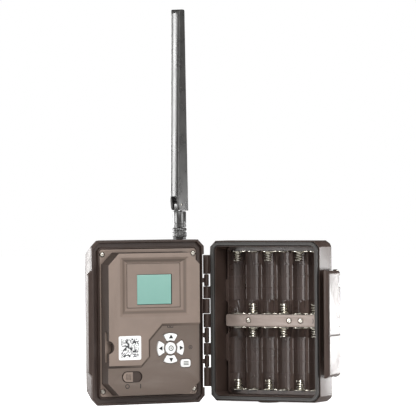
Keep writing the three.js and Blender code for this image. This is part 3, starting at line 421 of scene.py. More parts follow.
# Hair scratches: noise stretched along one axis and kept only near its middle value.
def buildScratches():
    tree, given, out = newGroup(
        "hairScratches",
        [("Stretch", "NodeSocketVector", (1.0, 1.0, 30.0)), ("Line scale", "NodeSocketFloat", 400.0)],
        [("Mask", "NodeSocketFloat"), ("Grain", "NodeSocketFloat")],
    )
    place = addNode(tree, "ShaderNodeTexCoord").outputs["Object"]
    scaled = addNode(tree, "ShaderNodeVectorMath", operation="MULTIPLY")
    tree.links.new(place, scaled.inputs[0])
    tree.links.new(given.outputs["Stretch"], scaled.inputs[1])
    lines = noiseAt(tree, scaled.outputs[0], given.outputs["Line scale"], 2.0, 0.5)
    off = maths(tree, "ABSOLUTE", maths(tree, "SUBTRACT", lines, 0.5))
    tree.links.new(ramp(tree, off, 0.0, 0.012, 1.0, 0.0), out.inputs["Mask"])
    tree.links.new(lines, out.inputs["Grain"])
    return tree


# How squarely the surface looks along `Way` (1 is square on, 0 is edge on) and how far out it
# lies that way, both as dot products.
# Used to place the painted shade on the panel's walls, slopes and sunk area.
def buildFacing():
    tree, given, out = newGroup(
        "paintedShadeFacing", [("Way", "NodeSocketVector", (0.0, -1.0, 0.0))],
        [("Cosine", "NodeSocketFloat"), ("Reach", "NodeSocketFloat")],
    )
    cosine = addNode(tree, "ShaderNodeVectorMath", operation="DOT_PRODUCT")
    tree.links.new(addNode(tree, "ShaderNodeNewGeometry").outputs["Normal"], cosine.inputs[0])
    tree.links.new(given.outputs["Way"], cosine.inputs[1])
    tree.links.new(cosine.outputs["Value"], out.inputs["Cosine"])
    reach = addNode(tree, "ShaderNodeVectorMath", operation="DOT_PRODUCT")
    tree.links.new(addNode(tree, "ShaderNodeTexCoord").outputs["Object"], reach.inputs[0])
    tree.links.new(given.outputs["Way"], reach.inputs[1])
    tree.links.new(reach.outputs["Value"], out.inputs["Reach"])
    return tree


groups = {
    "grain": buildMouldGrain(), "wear": buildEdgeWear(), "dust": buildDust(),
    "scratches": buildScratches(), "facing": buildFacing(),
}
print("shader groups built")


def placed(tree, kind, **values):
    node = tree.nodes.new("ShaderNodeGroup")
    node.node_tree = groups[kind]
    for key, value in values.items():
        node.inputs[key].default_value = value
    return node


def newMaterial(name):
    material = bpy.data.materials.new(name)
    material.use_nodes = True
    tree = material.node_tree
    shader = tree.nodes["Principled BSDF"]
    return material, tree, shader


def bumped(tree, shader, height, strength, distance):
    bump = addNode(tree, "ShaderNodeBump", Strength=strength, Distance=distance)
    tree.links.new(height, bump.inputs["Height"])
    tree.links.new(bump.outputs["Normal"], shader.inputs["Normal"])


def grey(value):
    return (value, value, value, 1.0)


# Plastics and rubbers: a mottled, grained moulding with pale worn edges and a little dust.
mouldings = {
    "shellBrown": dict(
        colour=(0.038, 0.024, 0.019, 1), tint=(0.048, 0.031, 0.025, 1), edge=(0.15, 0.11, 0.09, 1),
        rough=(0.40, 0.52), grain=1500.0, height=0.00004, bump=0.30, wear=0.25, dust=0.04, specular=0.25,
    ),
    "panelBrown": dict(
        colour=(0.200, 0.150, 0.122, 1), tint=(0.225, 0.171, 0.140, 1), edge=(0.34, 0.28, 0.24, 1),
        rough=(0.50, 0.62), grain=1500.0, height=0.00004, bump=0.30, wear=0.25, dust=0.06, specular=0.4,
    ),
    "barBrown": dict(
        colour=(0.260, 0.207, 0.180, 1), tint=(0.285, 0.230, 0.200, 1), edge=(0.42, 0.36, 0.32, 1),
        rough=(0.46, 0.58), grain=1500.0, height=0.00003, bump=0.25, wear=0.3, dust=0.06, specular=0.5,
    ),
    "trayBrown": dict(
        colour=(0.052, 0.034, 0.028, 1), tint=(0.066, 0.045, 0.038, 1), edge=(0.20, 0.15, 0.13, 1),
        rough=(0.26, 0.38), grain=900.0, height=0.00003, bump=0.15, wear=0.35, dust=0.06, specular=0.5,
    ),
    "gasketGrey": dict(
        colour=(0.036, 0.034, 0.032, 1), tint=(0.044, 0.042, 0.040, 1), edge=(0.08, 0.078, 0.074, 1),
        rough=(0.46, 0.60), grain=1100.0, height=0.00003, bump=0.25, wear=0.2, dust=0.12, specular=0.4,
    ),
    "softRubber": dict(
        colour=(0.018, 0.018, 0.018, 1), tint=(0.026, 0.026, 0.026, 1), edge=(0.06, 0.06, 0.06, 1),
        rough=(0.62, 0.8), grain=1300.0, height=0.00003, bump=0.3, wear=0.2, dust=0.2, specular=0.4,
    ),
    "keyWhite": dict(
        colour=(0.80, 0.80, 0.78, 1), tint=(0.86, 0.86, 0.85, 1), edge=(0.70, 0.69, 0.66, 1),
        rough=(0.30, 0.42), grain=2200.0, height=0.00002, bump=0.12, wear=0.25, dust=0.04, specular=0.5,
    ),
    "antennaBlack": dict(
        colour=(0.020, 0.019, 0.018, 1), tint=(0.030, 0.029, 0.027, 1), edge=(0.09, 0.088, 0.085, 1),
        rough=(0.25, 0.32), grain=1400.0, height=0.00003, bump=0.15, wear=0.20, dust=0.05, specular=0.85,
    ),
    "blackPlastic": dict(
        colour=(0.016, 0.016, 0.017, 1), tint=(0.024, 0.024, 0.025, 1), edge=(0.08, 0.08, 0.08, 1),
        rough=(0.40, 0.55), grain=1500.0, height=0.00003, bump=0.3, wear=0.3, dust=0.12, specular=0.5,
    ),
    "lensMilk": dict(
        colour=(0.52, 0.52, 0.49, 1), tint=(0.58, 0.58, 0.55, 1), edge=(0.66, 0.66, 0.64, 1),
        rough=(0.36, 0.5), grain=1900.0, height=0.00002, bump=0.15, wear=0.15, dust=0.12, specular=0.5,
    ),
    "boardWhite": dict(
        colour=(0.66, 0.67, 0.64, 1), tint=(0.72, 0.73, 0.70, 1), edge=(0.45, 0.40, 0.28, 1),
        rough=(0.25, 0.4), grain=700.0, height=0.00002, bump=0.15, wear=0.3, dust=0.08, specular=0.5,
    ),
    "boardGreen": dict(
        colour=(0.014, 0.10, 0.042, 1), tint=(0.022, 0.15, 0.066, 1), edge=(0.30, 0.26, 0.13, 1),
        rough=(0.22, 0.36), grain=500.0, height=0.00002, bump=0.2, wear=0.4, dust=0.08, specular=0.5,
    ),
    "printInk": dict(
        colour=(0.008, 0.008, 0.009, 1), tint=(0.014, 0.014, 0.015, 1), edge=(0.04, 0.04, 0.04, 1),
        rough=(0.45, 0.6), grain=2400.0, height=0.00001, bump=0.1, wear=0.2, dust=0.01, specular=0.2,
    ),
    "greyInk": dict(
        colour=(0.10, 0.11, 0.10, 1), tint=(0.14, 0.15, 0.14, 1), edge=(0.3, 0.3, 0.28, 1),
        rough=(0.45, 0.6), grain=2400.0, height=0.00001, bump=0.1, wear=0.2, dust=0.02, specular=0.4,
    ),
}
# Painted shade on the panel: where the surface turns away from the way the panel looks, on its walls and
# slopes, its colour is darkened towards `base`, and the sunk area, `level` metres in front of the hinge
# line, is painted darker by `dark`.
paintedShadeCoats = {
    "panelBrown": dict(base=(0.034, 0.023, 0.018, 1), full=0.88, none=0.78, level=0.0105, dark=0.66),
}
dustColour = (0.40, 0.37, 0.33, 1.0)


def mouldedPlastic(name):
    look = mouldings[name]
    material, tree, shader = newMaterial(name)
    grain = placed(tree, "grain", **{"Grain scale": look["grain"]})
    wear = placed(tree, "wear")
    dust = placed(tree, "dust")
    colour = mixed(tree, grain.outputs["Mottle"], look["colour"], look["tint"])
    # painted shade: faces turned away from the panel's front and the sunk area get a darker colour
    if name in paintedShadeCoats:
        panelShade = paintedShadeCoats[name]
        way = frontFrame.to_3x3() @ Vector((0, -1, 0))
        wallShade = placed(tree, "facing", Way=way)
        level = panelShade["level"] + frontFrame.to_translation().dot(way)
        off = maths(tree, "ABSOLUTE", maths(tree, "SUBTRACT", wallShade.outputs["Reach"], level))
        darker = tuple(channel * panelShade["dark"] for channel in look["colour"][:3]) + (1.0,)
        colour = mixed(tree, ramp(tree, off, 0.0003, 0.0008), darker, colour)
        thin = ramp(tree, wallShade.outputs["Cosine"], panelShade["none"], panelShade["full"])
        colour = mixed(tree, thin, panelShade["base"], colour)
    worn = maths(tree, "MULTIPLY", wear.outputs["Mask"], look["wear"])
    colour = mixed(tree, worn, colour, look["edge"])
    dusty = maths(tree, "MULTIPLY", dust.outputs["Mask"], look["dust"])
    colour = mixed(tree, dusty, colour, dustColour)
    tree.links.new(colour, shader.inputs["Base Color"])
    rough = ramp(tree, grain.outputs["Mottle"], 0.0, 1.0, *look["rough"])
    rough = maths(tree, "SUBTRACT", rough, maths(tree, "MULTIPLY", worn, 0.15))
    rough = maths(tree, "ADD", rough, maths(tree, "MULTIPLY", dusty, 0.5), True)
    tree.links.new(rough, shader.inputs["Roughness"])
    shader.inputs["Specular IOR Level"].default_value = look["specular"]
    bumped(tree, shader, grain.outputs["Height"], look["bump"], look["height"])
    return material


# Metals: fine drawn lines, scratches and a slow change of tone.
metals = {
    "brass": dict(
        colour=(0.60, 0.44, 0.18, 1), tint=(0.44, 0.30, 0.12, 1), rough=(0.22, 0.40),
        stretch=(1.0, 1.0, 24.0), lines=260.0, bump=0.12,
    ),
    "nickel": dict(
        colour=(0.72, 0.69, 0.61, 1), tint=(0.54, 0.51, 0.43, 1), rough=(0.16, 0.32),
        stretch=(6.0, 6.0, 1.0), lines=300.0, bump=0.10,
    ),
    "steel": dict(
        colour=(0.48, 0.45, 0.40, 1), tint=(0.36, 0.34, 0.30, 1), rough=(0.24, 0.40),
        stretch=(1.0, 20.0, 1.0), lines=340.0, bump=0.12,
    ),
}


def plainMetal(name):
    look = metals[name]
    material, tree, shader = newMaterial(name)
    scratch = placed(tree, "scratches", **{"Stretch": look["stretch"], "Line scale": look["lines"]})
    grain = placed(tree, "grain", **{"Grain scale": 900.0, "Mottle scale": 240.0})
    colour = mixed(tree, grain.outputs["Mottle"], look["colour"], look["tint"])
    colour = mixed(tree, maths(tree, "MULTIPLY", scratch.outputs["Mask"], 0.25), colour, grey(0.86))
    tree.links.new(colour, shader.inputs["Base Color"])
    rough = ramp(tree, grain.outputs["Mottle"], 0.0, 1.0, *look["rough"])
    rough = maths(tree, "ADD", rough, maths(tree, "MULTIPLY", scratch.outputs["Mask"], 0.15), True)
    tree.links.new(rough, shader.inputs["Roughness"])
    shader.inputs["Metallic"].default_value = 1.0
    bumped(tree, shader, scratch.outputs["Grain"], look["bump"], 0.00003)
    return material


# The display: pale green, a shade lighter towards its top, with faint level lines.
def displayFace():
    look = dict(
        colour=(0.145, 0.330, 0.280, 1), tint=(0.165, 0.360, 0.305, 1), line=(0.125, 0.29, 0.245, 1),
        pitch=0.0006,
    )
    material, tree, shader = newMaterial("displayFace")
    low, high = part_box("lcd_window")
    place = addNode(tree, "ShaderNodeTexCoord").outputs["Object"]
    parts = addNode(tree, "ShaderNodeSeparateXYZ")
    tree.links.new(place, parts.inputs[0])
    rise = ramp(tree, parts.outputs["Z"], low.z, high.z)
    cloud = ramp(tree, noiseAt(tree, place, 50.0, 2.0, 0.5), 0.35, 0.65, -0.15, 0.15)
    colour = mixed(tree, maths(tree, "ADD", rise, cloud, True), look["colour"], look["tint"])
    pitch = look["pitch"]
    lines = ramp(tree, maths(tree, "PINGPONG", parts.outputs["Z"], pitch / 2), 0.0, pitch / 6, 0.5, 0.0)
    colour = mixed(tree, lines, colour, look["line"])
    tree.links.new(colour, shader.inputs["Base Color"])
    gloss = ramp(tree, noiseAt(tree, place, 90.0, 4.0, 0.6), 0.3, 0.7, 0.30, 0.42)
    tree.links.new(gloss, shader.inputs["Roughness"])
    shader.inputs["Coat Weight"].default_value = 0.2
    bumped(tree, shader, noiseAt(tree, place, 700.0, 2.0, 0.5), 0.05, 0.00002)
    return material


# Clear or dark see-through plastic and glass: smudges dull its gloss and darken it a little.
def clearMaterial(name, colour, through, rough, ior):
    material, tree, shader = newMaterial(name)
    place = addNode(tree, "ShaderNodeTexCoord").outputs["Object"]
    smudge = ramp(tree, noiseAt(tree, place, 70.0, 5.0, 0.65), 0.45, 0.75)
    dust = placed(tree, "dust").outputs["Mask"]
    darker = tuple(channel * 0.8 for channel in colour[:3]) + (1.0,)
    tree.links.new(mixed(tree, smudge, colour, darker), shader.inputs["Base Color"])
    haze = maths(tree, "MULTIPLY", dust, 0.2)
    gloss = maths(tree, "ADD", ramp(tree, smudge, 0.0, 1.0, *rough), haze, True)
    tree.links.new(gloss, shader.inputs["Roughness"])
    shader.inputs["Transmission Weight"].default_value = through
    shader.inputs["IOR"].default_value = ior
    bumped(tree, shader, noiseAt(tree, place, 900.0, 2.0, 0.5), 0.01, 0.00001)
    return material


# The label: paper with a random pattern of small squares, drawn on the label's own UV map.
def labelPaper():
    look = dict(cells=23, low=0.11, high=0.89, paper=(0.84, 0.84, 0.83, 1), ink=(0.03, 0.03, 0.035, 1))
    material, tree, shader = newMaterial("labelPaper")
    chart = addNode(tree, "ShaderNodeUVMap", uv_map="labelMap").outputs["UV"]
    scaled = addNode(tree, "ShaderNodeVectorMath", operation="SCALE", Scale=float(look["cells"]))
    tree.links.new(chart, scaled.inputs[0])
    cell = addNode(tree, "ShaderNodeVectorMath", operation="FLOOR")
    tree.links.new(scaled.outputs[0], cell.inputs[0])
    chance = addNode(tree, "ShaderNodeTexWhiteNoise", noise_dimensions="2D")
    tree.links.new(cell.outputs[0], chance.inputs["Vector"])
    dark = maths(tree, "GREATER_THAN", chance.outputs["Value"], 0.50)
    parts = addNode(tree, "ShaderNodeSeparateXYZ")
    tree.links.new(chart, parts.inputs[0])
    for axis in ("X", "Y"):
        for operation, limit in (("GREATER_THAN", look["low"]), ("LESS_THAN", look["high"])):
            inside = maths(tree, operation, parts.outputs[axis], limit)
            dark = maths(tree, "MULTIPLY", dark, inside)
    place = addNode(tree, "ShaderNodeTexCoord").outputs["Object"]
    fibre = noiseAt(tree, place, 1500.0, 4.0, 0.6)
    paper = mixed(tree, ramp(tree, fibre, 0.3, 0.7), look["paper"], grey(0.90))
    ink = mixed(tree, ramp(tree, fibre, 0.4, 0.8), look["ink"], grey(0.08))
    tree.links.new(mixed(tree, dark, paper, ink), shader.inputs["Base Color"])
    tree.links.new(ramp(tree, fibre, 0.2, 0.8, 0.5, 0.65), shader.inputs["Roughness"])
    bumped(tree, shader, fibre, 0.1, 0.00002)
    return material


looks = {name: mouldedPlastic(name) for name in mouldings}
looks.update({name: plainMetal(name) for name in metals})
looks["displayFace"] = displayFace()
looks["labelPaper"] = labelPaper()
looks["coatedGlass"] = clearMaterial("coatedGlass", (0.62, 0.60, 0.70, 1), 0.95, (0.02, 0.06), 1.5)
looks["clearEmitter"] = clearMaterial("clearEmitter", (0.90, 0.90, 0.88, 1), 0.85, (0.05, 0.12), 1.48)
looks["darkWindow"] = clearMaterial("darkWindow", (0.016, 0.010, 0.013, 1), 0.30, (0.06, 0.12), 1.5)
print("materials made:", len(looks))


# Camera, floor and light.

stageValues = dict(
    azimuth=28.107, elevation=0.277, roll=0.433, distance=3.1557, lens=320.35,
    aside=-0.000405, up=-0.001978, floor=6.0,
)


# Azimuth 0 looks along +Y; the line back to the viewer is (sin a cos e, -cos a cos e, sin e).
def backTo(azimuth, elevation):
    a, e = math.radians(azimuth), math.radians(elevation)
    return Vector((math.sin(a) * math.cos(e), -math.cos(a) * math.cos(e), math.sin(e)))


def addCamera():
    values = stageValues
    back = backTo(values["azimuth"], values["elevation"])
    azimuth, roll = math.radians(values["azimuth"]), math.radians(values["roll"])
    right = Vector((math.cos(azimuth), math.sin(azimuth), 0))
    upward = back.cross(right)
    middle = Vector((0, 0, (cadBox[0].z + cadBox[1].z) / 2))
    data = bpy.data.cameras.new("viewCamera")
    data.lens = values["lens"]
    data.sensor_width = 36
    data.clip_end = 100
    camera = bpy.data.objects.new("viewCamera", data)
    bpy.context.scene.collection.objects.link(camera)
    turn = Matrix((right, upward, back)).transposed() @ Matrix.Rotation(-roll, 3, "Z")
    eye = middle + right * values["aside"] + upward * values["up"] + back * values["distance"]
    camera.matrix_world = Matrix.Translation(eye) @ turn.to_4x4()
    bpy.context.scene.camera = camera


# Each light is a soft rectangle, wide by high in metres, `distance` away and aimed at the
# height `aim` on the middle axis.
lights = {
    "keyLight": dict(azimuth=25, elevation=40, distance=2.2, size=(1.0, 1.0), power=26, aim=0.10),
    "panelLight": dict(azimuth=80, elevation=14, distance=2.2, size=(1.0, 1.0), power=24, aim=0.08),
    "leftFrontLight": dict(azimuth=-38, elevation=8, distance=2.4, size=(0.8, 0.9), power=44, aim=0.20),
    "leftBackLight": dict(azimuth=-97, elevation=6, distance=1.5, size=(0.9, 0.5), power=26, aim=0.06),
    "rightBackLight": dict(azimuth=144, elevation=0, distance=0.45, size=(0.30, 0.11), power=2.6, aim=0.058),
    "overheadLight": dict(azimuth=20, elevation=80, distance=1.8, size=(1.2, 1.2), power=6, aim=0.10),
}


def addLights():
    for name, light in lights.items():
        data = bpy.data.lights.new(name, "AREA")
        data.shape = "RECTANGLE"
        data.size, data.size_y = light["size"]
        data.energy = light["power"]
        lamp = bpy.data.objects.new(name, data)
        back = backTo(light["azimuth"], light["elevation"])
        lamp.location = Vector((0, 0, light["aim"])) + back * light["distance"]
        lamp.rotation_euler = back.to_track_quat("Z", "Y").to_euler()
        lamp.visible_camera = False
        bpy.context.scene.collection.objects.link(lamp)
    world = bpy.data.worlds.new("studio")
    world.use_nodes = True
    tree = world.node_tree
    seen = addNode(tree, "ShaderNodeLightPath").outputs["Is Camera Ray"]
    strength = ramp(tree, seen, 0.0, 1.0, 0.14, 1.0)
    background = tree.nodes["Background"]
    background.inputs["Color"].default_value = (1, 1, 1, 1)
    tree.links.new(strength, background.inputs["Strength"])
    bpy.context.scene.world = world
    bpy.context.scene.view_settings.view_transform = "Standard"


def addFloor():
    half = stageValues["floor"]
    corners = [(-half, -half, 0), (half, -half, 0), (half, half, 0), (-half, half, 0)]
    mesh = bpy.data.meshes.new("floor")
    mesh.from_pydata(corners, [], [(0, 1, 2, 3)])
    floor = bpy.data.objects.new("floor", mesh)
    bpy.context.scene.collection.objects.link(floor)
    material, tree, shader = newMaterial("paleFloor")
    place = addNode(tree, "ShaderNodeTexCoord").outputs["Object"]
    fibre = ramp(tree, noiseAt(tree, place, 300.0, 3.0, 0.5), 0.3, 0.7)
    tree.links.new(mixed(tree, fibre, grey(0.90), grey(0.94)), shader.inputs["Base Color"])
    shader.inputs["Roughness"].default_value = 0.8
    shader.inputs["Emission Color"].default_value = (1, 1, 1, 1)
    seen = addNode(tree, "ShaderNodeLightPath").outputs["Is Camera Ray"]
    tree.links.new(ramp(tree, seen, 0.0, 1.0, 0.10, 0.90), shader.inputs["Emission Strength"])
    mesh.materials.append(material)


addCamera()
addLights()
addFloor()
print("camera, lights and floor placed")


# Mouldings whose CAD shape is right: a merged copy with every edge sharper than `angle` rounded
# by `edge`, or left sharp where `edge` is 0.
mouldingCopies = {
    "rear_shell": dict(look="shellBrown", edge=0.35),
    "front_shell": dict(look="shellBrown", edge=0.35),
    "control_panel": dict(look="panelBrown", edge=0.22, angle=20),
    "battery_tray": dict(look="trayBrown", edge=0, angle=15),
    "tray_bar": dict(look="barBrown", edge=0.3),
    "latch_lever": dict(look="shellBrown", edge=0.4),
    "tree_bracket": dict(look="shellBrown", edge=0.7),
    "card_socket": dict(look="steel", edge=0.15),
    "main_board": dict(look="boardGreen", edge=0.12),
    "dome_mat": dict(look="softRubber", edge=0.2),
    "lcd_module": dict(look="blackPlastic", edge=0.3),
    "power_switch": dict(look="blackPlastic", edge=0.3),
}


def mergedMesh(node):
    mesh = nodes[node].data.copy()
    mesh.materials.clear()
    work = bmesh.new()
    work.from_mesh(mesh)
    bmesh.ops.remove_doubles(work, verts=work.verts, dist=2e-6)
    flat = math.radians(0.5)
    bmesh.ops.dissolve_limit(work, angle_limit=flat, verts=work.verts, edges=work.edges)
    work.to_mesh(mesh)
    work.free()
    return mesh


def addMoulding(node, look, edge, angle=32):
    mesh = mergedMesh(node)
    mesh.name = node + "_moulding"
    mesh.shade_smooth()
    mesh.materials.append(looks[look])
    piece = bpy.data.objects.new(mesh.name, mesh)
    bpy.context.scene.collection.objects.link(piece)
    if edge:
        bevel = piece.modifiers.new("edges", "BEVEL")
        bevel.width = edge * mm
        bevel.segments = 3
        bevel.limit_method = "ANGLE"
        bevel.angle_limit = math.radians(angle)
        bevel.harden_normals = True
        bevel.use_clamp_overlap = False
    else:
        mesh.set_sharp_from_angle(angle=math.radians(angle))
    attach(piece, bodyOf(node))
    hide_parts(node)


for node, values in mouldingCopies.items():
    addMoulding(node, **values)
print("mouldings copied")


# The seal: a half-round lip with a shallow groove along its crown.
gasketShape = dict(width=3.0, cut=3.65, corner=2.6, groove=0.35, grooveWide=0.5, square=0.55)


# Section: offset w/2 sgn(cos)|cos|^q, level mid + half sgn(sin)|sin|^q, less a bell-shaped groove.
def addGasket():
    values = gasketShape
    low, high = boxIn("rim_gasket", rearFrame)
    half = values["width"] / 2
    inset = [low[0] + half, low[2] + half], [high[0] - half, high[2] - half]
    outline = rounded(cutRectangle(*inset, values["cut"]), values["corner"], 8)
    t = np.linspace(0, fullTurn, 32, endpoint=False)
    offset = half * np.sign(np.cos(t)) * np.abs(np.cos(t)) ** values["square"]
    middle, rise = -(low[1] + high[1]) / 2, (high[1] - low[1]) / 2
    level = middle + rise * np.sign(np.sin(t)) * np.abs(np.sin(t)) ** values["square"]
    level -= values["groove"] * np.exp(-((offset / values["grooveWide"]) ** 2)) * (np.sin(t) > 0)
    shape = ring(outline, np.stack([offset, level], -1))
    addPiece("seal_lip", shape, rearPlan, "rear_case", "gasketGrey", ["rim_gasket"])


addGasket()


# Battery contacts: a stamped plate with a conical spring for one cell and a button for the next.
contactShape = dict(
    disc=6.5, thick=0.6, strapBelow=2.4, strapAbove=1.5, button=3.3, dome=1.0,
    base=3.5, tip=2.9, wireRadius=0.48, turns=4.6, length=7.6, soft=0.15, strapEdge=0.05,
)


# Spring: x = r cos t, y = r sin t, height rising as t, with r shrinking from base to tip.
def springPath(values):
    turns = values["turns"]
    t = np.linspace(0, turns, int(turns * 20) + 1)
    share = np.clip((t - 0.6) / (turns - 1.2), 0, 1)
    radius = values["base"] + (values["tip"] - values["base"]) * share
    start = values["thick"] + values["wireRadius"] * 0.8
    height = start + (values["length"] - values["wireRadius"]) * share + 0.15 * np.clip(t, 0, 0.6)
    return np.stack([radius * np.cos(fullTurn * t), radius * np.sin(fullTurn * t), height], -1)


contactPlaces = [
    (row, place, index) for row in ("lower", "upper") for place in ("outer", "inner") for index in (1, 2, 3)
]


# Where a contact's spring and button stand across, how deep its middle lies, the height of its
# outer face and the way from there into the tray.
def contactPlan(row, place, index):
    low, high = boxIn(f"contact_{row}_{place}_{index}", rearFrame)
    left, right = low[0] + contactShape["disc"], high[0] - contactShape["disc"]
    sides = (left, right) if place == "outer" else (right, left)
    closesTop = (row == "upper") == (place == "outer")
    end, way = (high[2], -1) if closesTop else (low[2], 1)
    return sides, (low[1] + high[1]) / 2, end, way


def addContact(row, place, index):
    values = contactShape
    disc, thick = values["disc"], values["thick"]
    (springX, buttonX), depth, end, way = contactPlan(row, place, index)
    left, right = min(springX, buttonX), max(springX, buttonX)
    soft = values["soft"]
    plain = [(0, 0), (disc - soft, 0), (disc, soft), (disc, thick - soft), (disc - soft, thick), (0, thick)]
    rise = np.linspace(0, math.pi / 2, 6)
    crown = [(values["button"] * math.cos(a), thick + values["dome"] * math.sin(a)) for a in rise]
    strap = rectangle((left, depth - values["strapBelow"]), (right, depth + values["strapAbove"]))
    spring = wire(springPath(values), values["wireRadius"])
    thin = values["strapEdge"]
    shape = together(
        turned(plain, 40, (springX, depth)), turned(plain[:-1] + crown, 40, (buttonX, depth)),
        slab(strap, thin, thick - thin, thin), shifted(spring, springX, depth),
    )
    # heights are from the plate's outer face inwards, so the pieces at the top are turned over
    flip = Matrix.Translation((0, 0, end)) @ Matrix.Diagonal((1, 1, way, 1))
    which = f"{row}_{place}_{index}"
    addPiece("spring_" + which, moved(shape, flip), rearFrame, "rear_case", "nickel", ["contact_" + which])


for contact in contactPlaces:
    addContact(*contact)
print("seal and battery contacts made")


# Screws: a domed head with a cross recess on a plain shank.
screwShape = dict(arm=0.62, slot=0.15, depth=0.34, soft=0.06, dome=0.16, rings=26, spokes=72)


# Head: height = -dome (r/R)^2 - depth where |x| < slot and |y| < arm, or the other way round.
def screwBody(head, height, shank, length):
    values = screwShape
    r = np.linspace(0, head * 0.96, values["rings"])[:, None]
    t = np.linspace(0, fullTurn, values["spokes"], endpoint=False)[None]
    x, y = r * np.cos(t), r * np.sin(t)
    soft = values["soft"] * head

    def arm(a, b):
        across = np.clip((values["slot"] * head - np.abs(a)) / soft + 0.5, 0, 1)
        return across * np.clip((values["arm"] * head - np.abs(b)) / soft + 0.5, 0, 1)

    recess = np.maximum(arm(x, y), arm(y, x)) * values["depth"] * head * (1 - 0.5 * r / head)
    top = -values["dome"] * (r / head) ** 2 - recess
    below = [(head, top[-1, 0] - 0.1), (head, -height), (shank, -height), (shank, -length), (0, -length)]
    rows = [np.stack([x, y, top], -1)]
    for radius, level in below:
        rows.append(np.stack([radius * np.cos(t), radius * np.sin(t), np.full(t.shape, level)], -1))
    return asGrid(np.concatenate(rows))


# The screw's node gives its middle, where its head stands and how long it is.
def addScrew(node, place, towards, head, height, shank, turn):
    low, high = boxIn(node, place)
    middle = (low + high) / 2
    if towards is facing:
        at = Matrix.Translation((middle[0], middle[2], -low[1]))
    else:
        at = Matrix.Translation((-middle[0], middle[2], high[1]))
    spin = at @ Matrix.Rotation(math.radians(turn), 4, "Z")
    shape = moved(screwBody(head, height, shank, high[1] - low[1]), towards @ spin)
    addPiece(node + "_cross", shape, place, bodyOf(node), "steel", [node])


# Each set: how many, its frame, the way its heads look, head radius and height, shank radius, and
# the turn of the recess from one screw to the next.
screwSets = {
    "tray_screw": (3, rearFrame, facing, 1.8, 0.9, 1.2, 20),
    "panel_screw": (4, frontFrame, facing, 1.75, 1.0, 1.1, 35),
    "bracket_screw": (2, rearFrame, backward, 3.0, 1.6, 1.2, 50),
}
for kind, (count, *sizes, step) in screwSets.items():
    for index in range(1, count + 1):
        addScrew(f"{kind}_{index}", *sizes, step * index)


# Pins and rods: round, with small chamfers.
def rodProfile(radius, low, high, chamfer=0.2):
    inner = radius - chamfer
    lower = [(0, low), (inner, low), (radius, low + chamfer)]
    return lower + [(radius, high - chamfer), (inner, high), (0, high)]


pins = {
    "hinge_pin_lower": "steel", "hinge_pin_upper": "steel", "latch_pin": "steel",
    "cable_sleeve": "softRubber",
}
for node, look in pins.items():
    low, high = boxIn(node, rearFrame)
    radius = (high[0] - low[0]) / 2
    centre = (low[:2] + high[:2]) / 2
    shape = turned(rodProfile(radius, low[2], high[2]), 32, centre)
    addPiece(node + "_round", shape, rearFrame, bodyOf(node), look, [node])
print("screws and pins made")


# Keys: white caps with a crowned top, each with a printed sign.
keyShape = dict(
    halfAngle=31, edge=0.55, dome=0.4, passes=10, arrow=2.0, back=0.7, print=0.08,
    under=0.4, printEdge=0.02, signRing=2.0, signLine=0.8, signDot=0.7, bars=1.25, barLong=2.3, barThin=0.36,
)
okLow, okHigh = boxIn("key_ok", frontFrame)
keyCentre = (okLow + okHigh)[[0, 2]] / 2


def keyCap(node, outline):
    low, high = boxIn(node, frontFrame)
    shape = slab(outline, -high[1], -low[1] - keyShape["dome"], keyShape["edge"], keyShape["dome"], 6)
    addPiece(node + "_cap", shape, frontPlan, node, "keyWhite", [node])
    return -low[1]


# A printed sign is a thin slab that stands just proud of its key's top.
def printed(outline, top):
    return slab(outline, top - keyShape["under"], top + keyShape["print"], keyShape["printEdge"])


def printSign(name, shapes, body, look="printInk"):
    addPiece(name, together(*shapes), frontPlan, body, look)


# An arrow key is a ring's sector; its arrowhead is a triangle with its point `arrow` outwards.
def addArrowKey(node, direction):
    low, high = boxIn("key_right", frontFrame)
    outer = high[0] - keyCentre[0]
    half = keyShape["halfAngle"]
    inner = (low[0] - keyCentre[0]) / math.cos(math.radians(half))
    sector = np.concatenate([
        arc(outer, direction - half, direction + half, centre=keyCentre),
        arc(inner, direction + half, direction - half, centre=keyCentre),
    ])
    top = keyCap(node, softened(sector, 120, keyShape["passes"]))
    way = np.array([math.cos(math.radians(direction)), math.sin(math.radians(direction))])
    side = np.array([-way[1], way[0]])
    middle = keyCentre + way * (inner + outer) / 2
    size = keyShape["arrow"]
    tail = middle - way * size * keyShape["back"]
    head = [middle + way * size, tail + side * size, tail - side * size]
    printSign(node + "_arrow", [printed(rounded(head, 0.25), top)], node)


for node, direction in (("key_right", 0), ("key_up", 90), ("key_left", 180), ("key_down", 270)):
    addArrowKey(node, direction)


# A flat band along a circle: a whole ring, or the part between two angles.
def bandOf(radius, width, low, high, centre, start=0, end=360, steps=40):
    if end - start == 360:
        section = np.array([(-width / 2, low), (width / 2, low), (width / 2, high), (-width / 2, high)])
        angles = np.linspace(0, fullTurn, steps, endpoint=False)
        circle = np.stack([centre[0] + radius * np.cos(angles), centre[1] + radius * np.sin(angles)], -1)
        return ring(circle, section)
    outer = arc(radius + width / 2, start, end, steps, centre)
    inner = arc(radius - width / 2, end, start, steps, centre)
    return slab(np.concatenate([outer, inner]), low, high, 0.02)


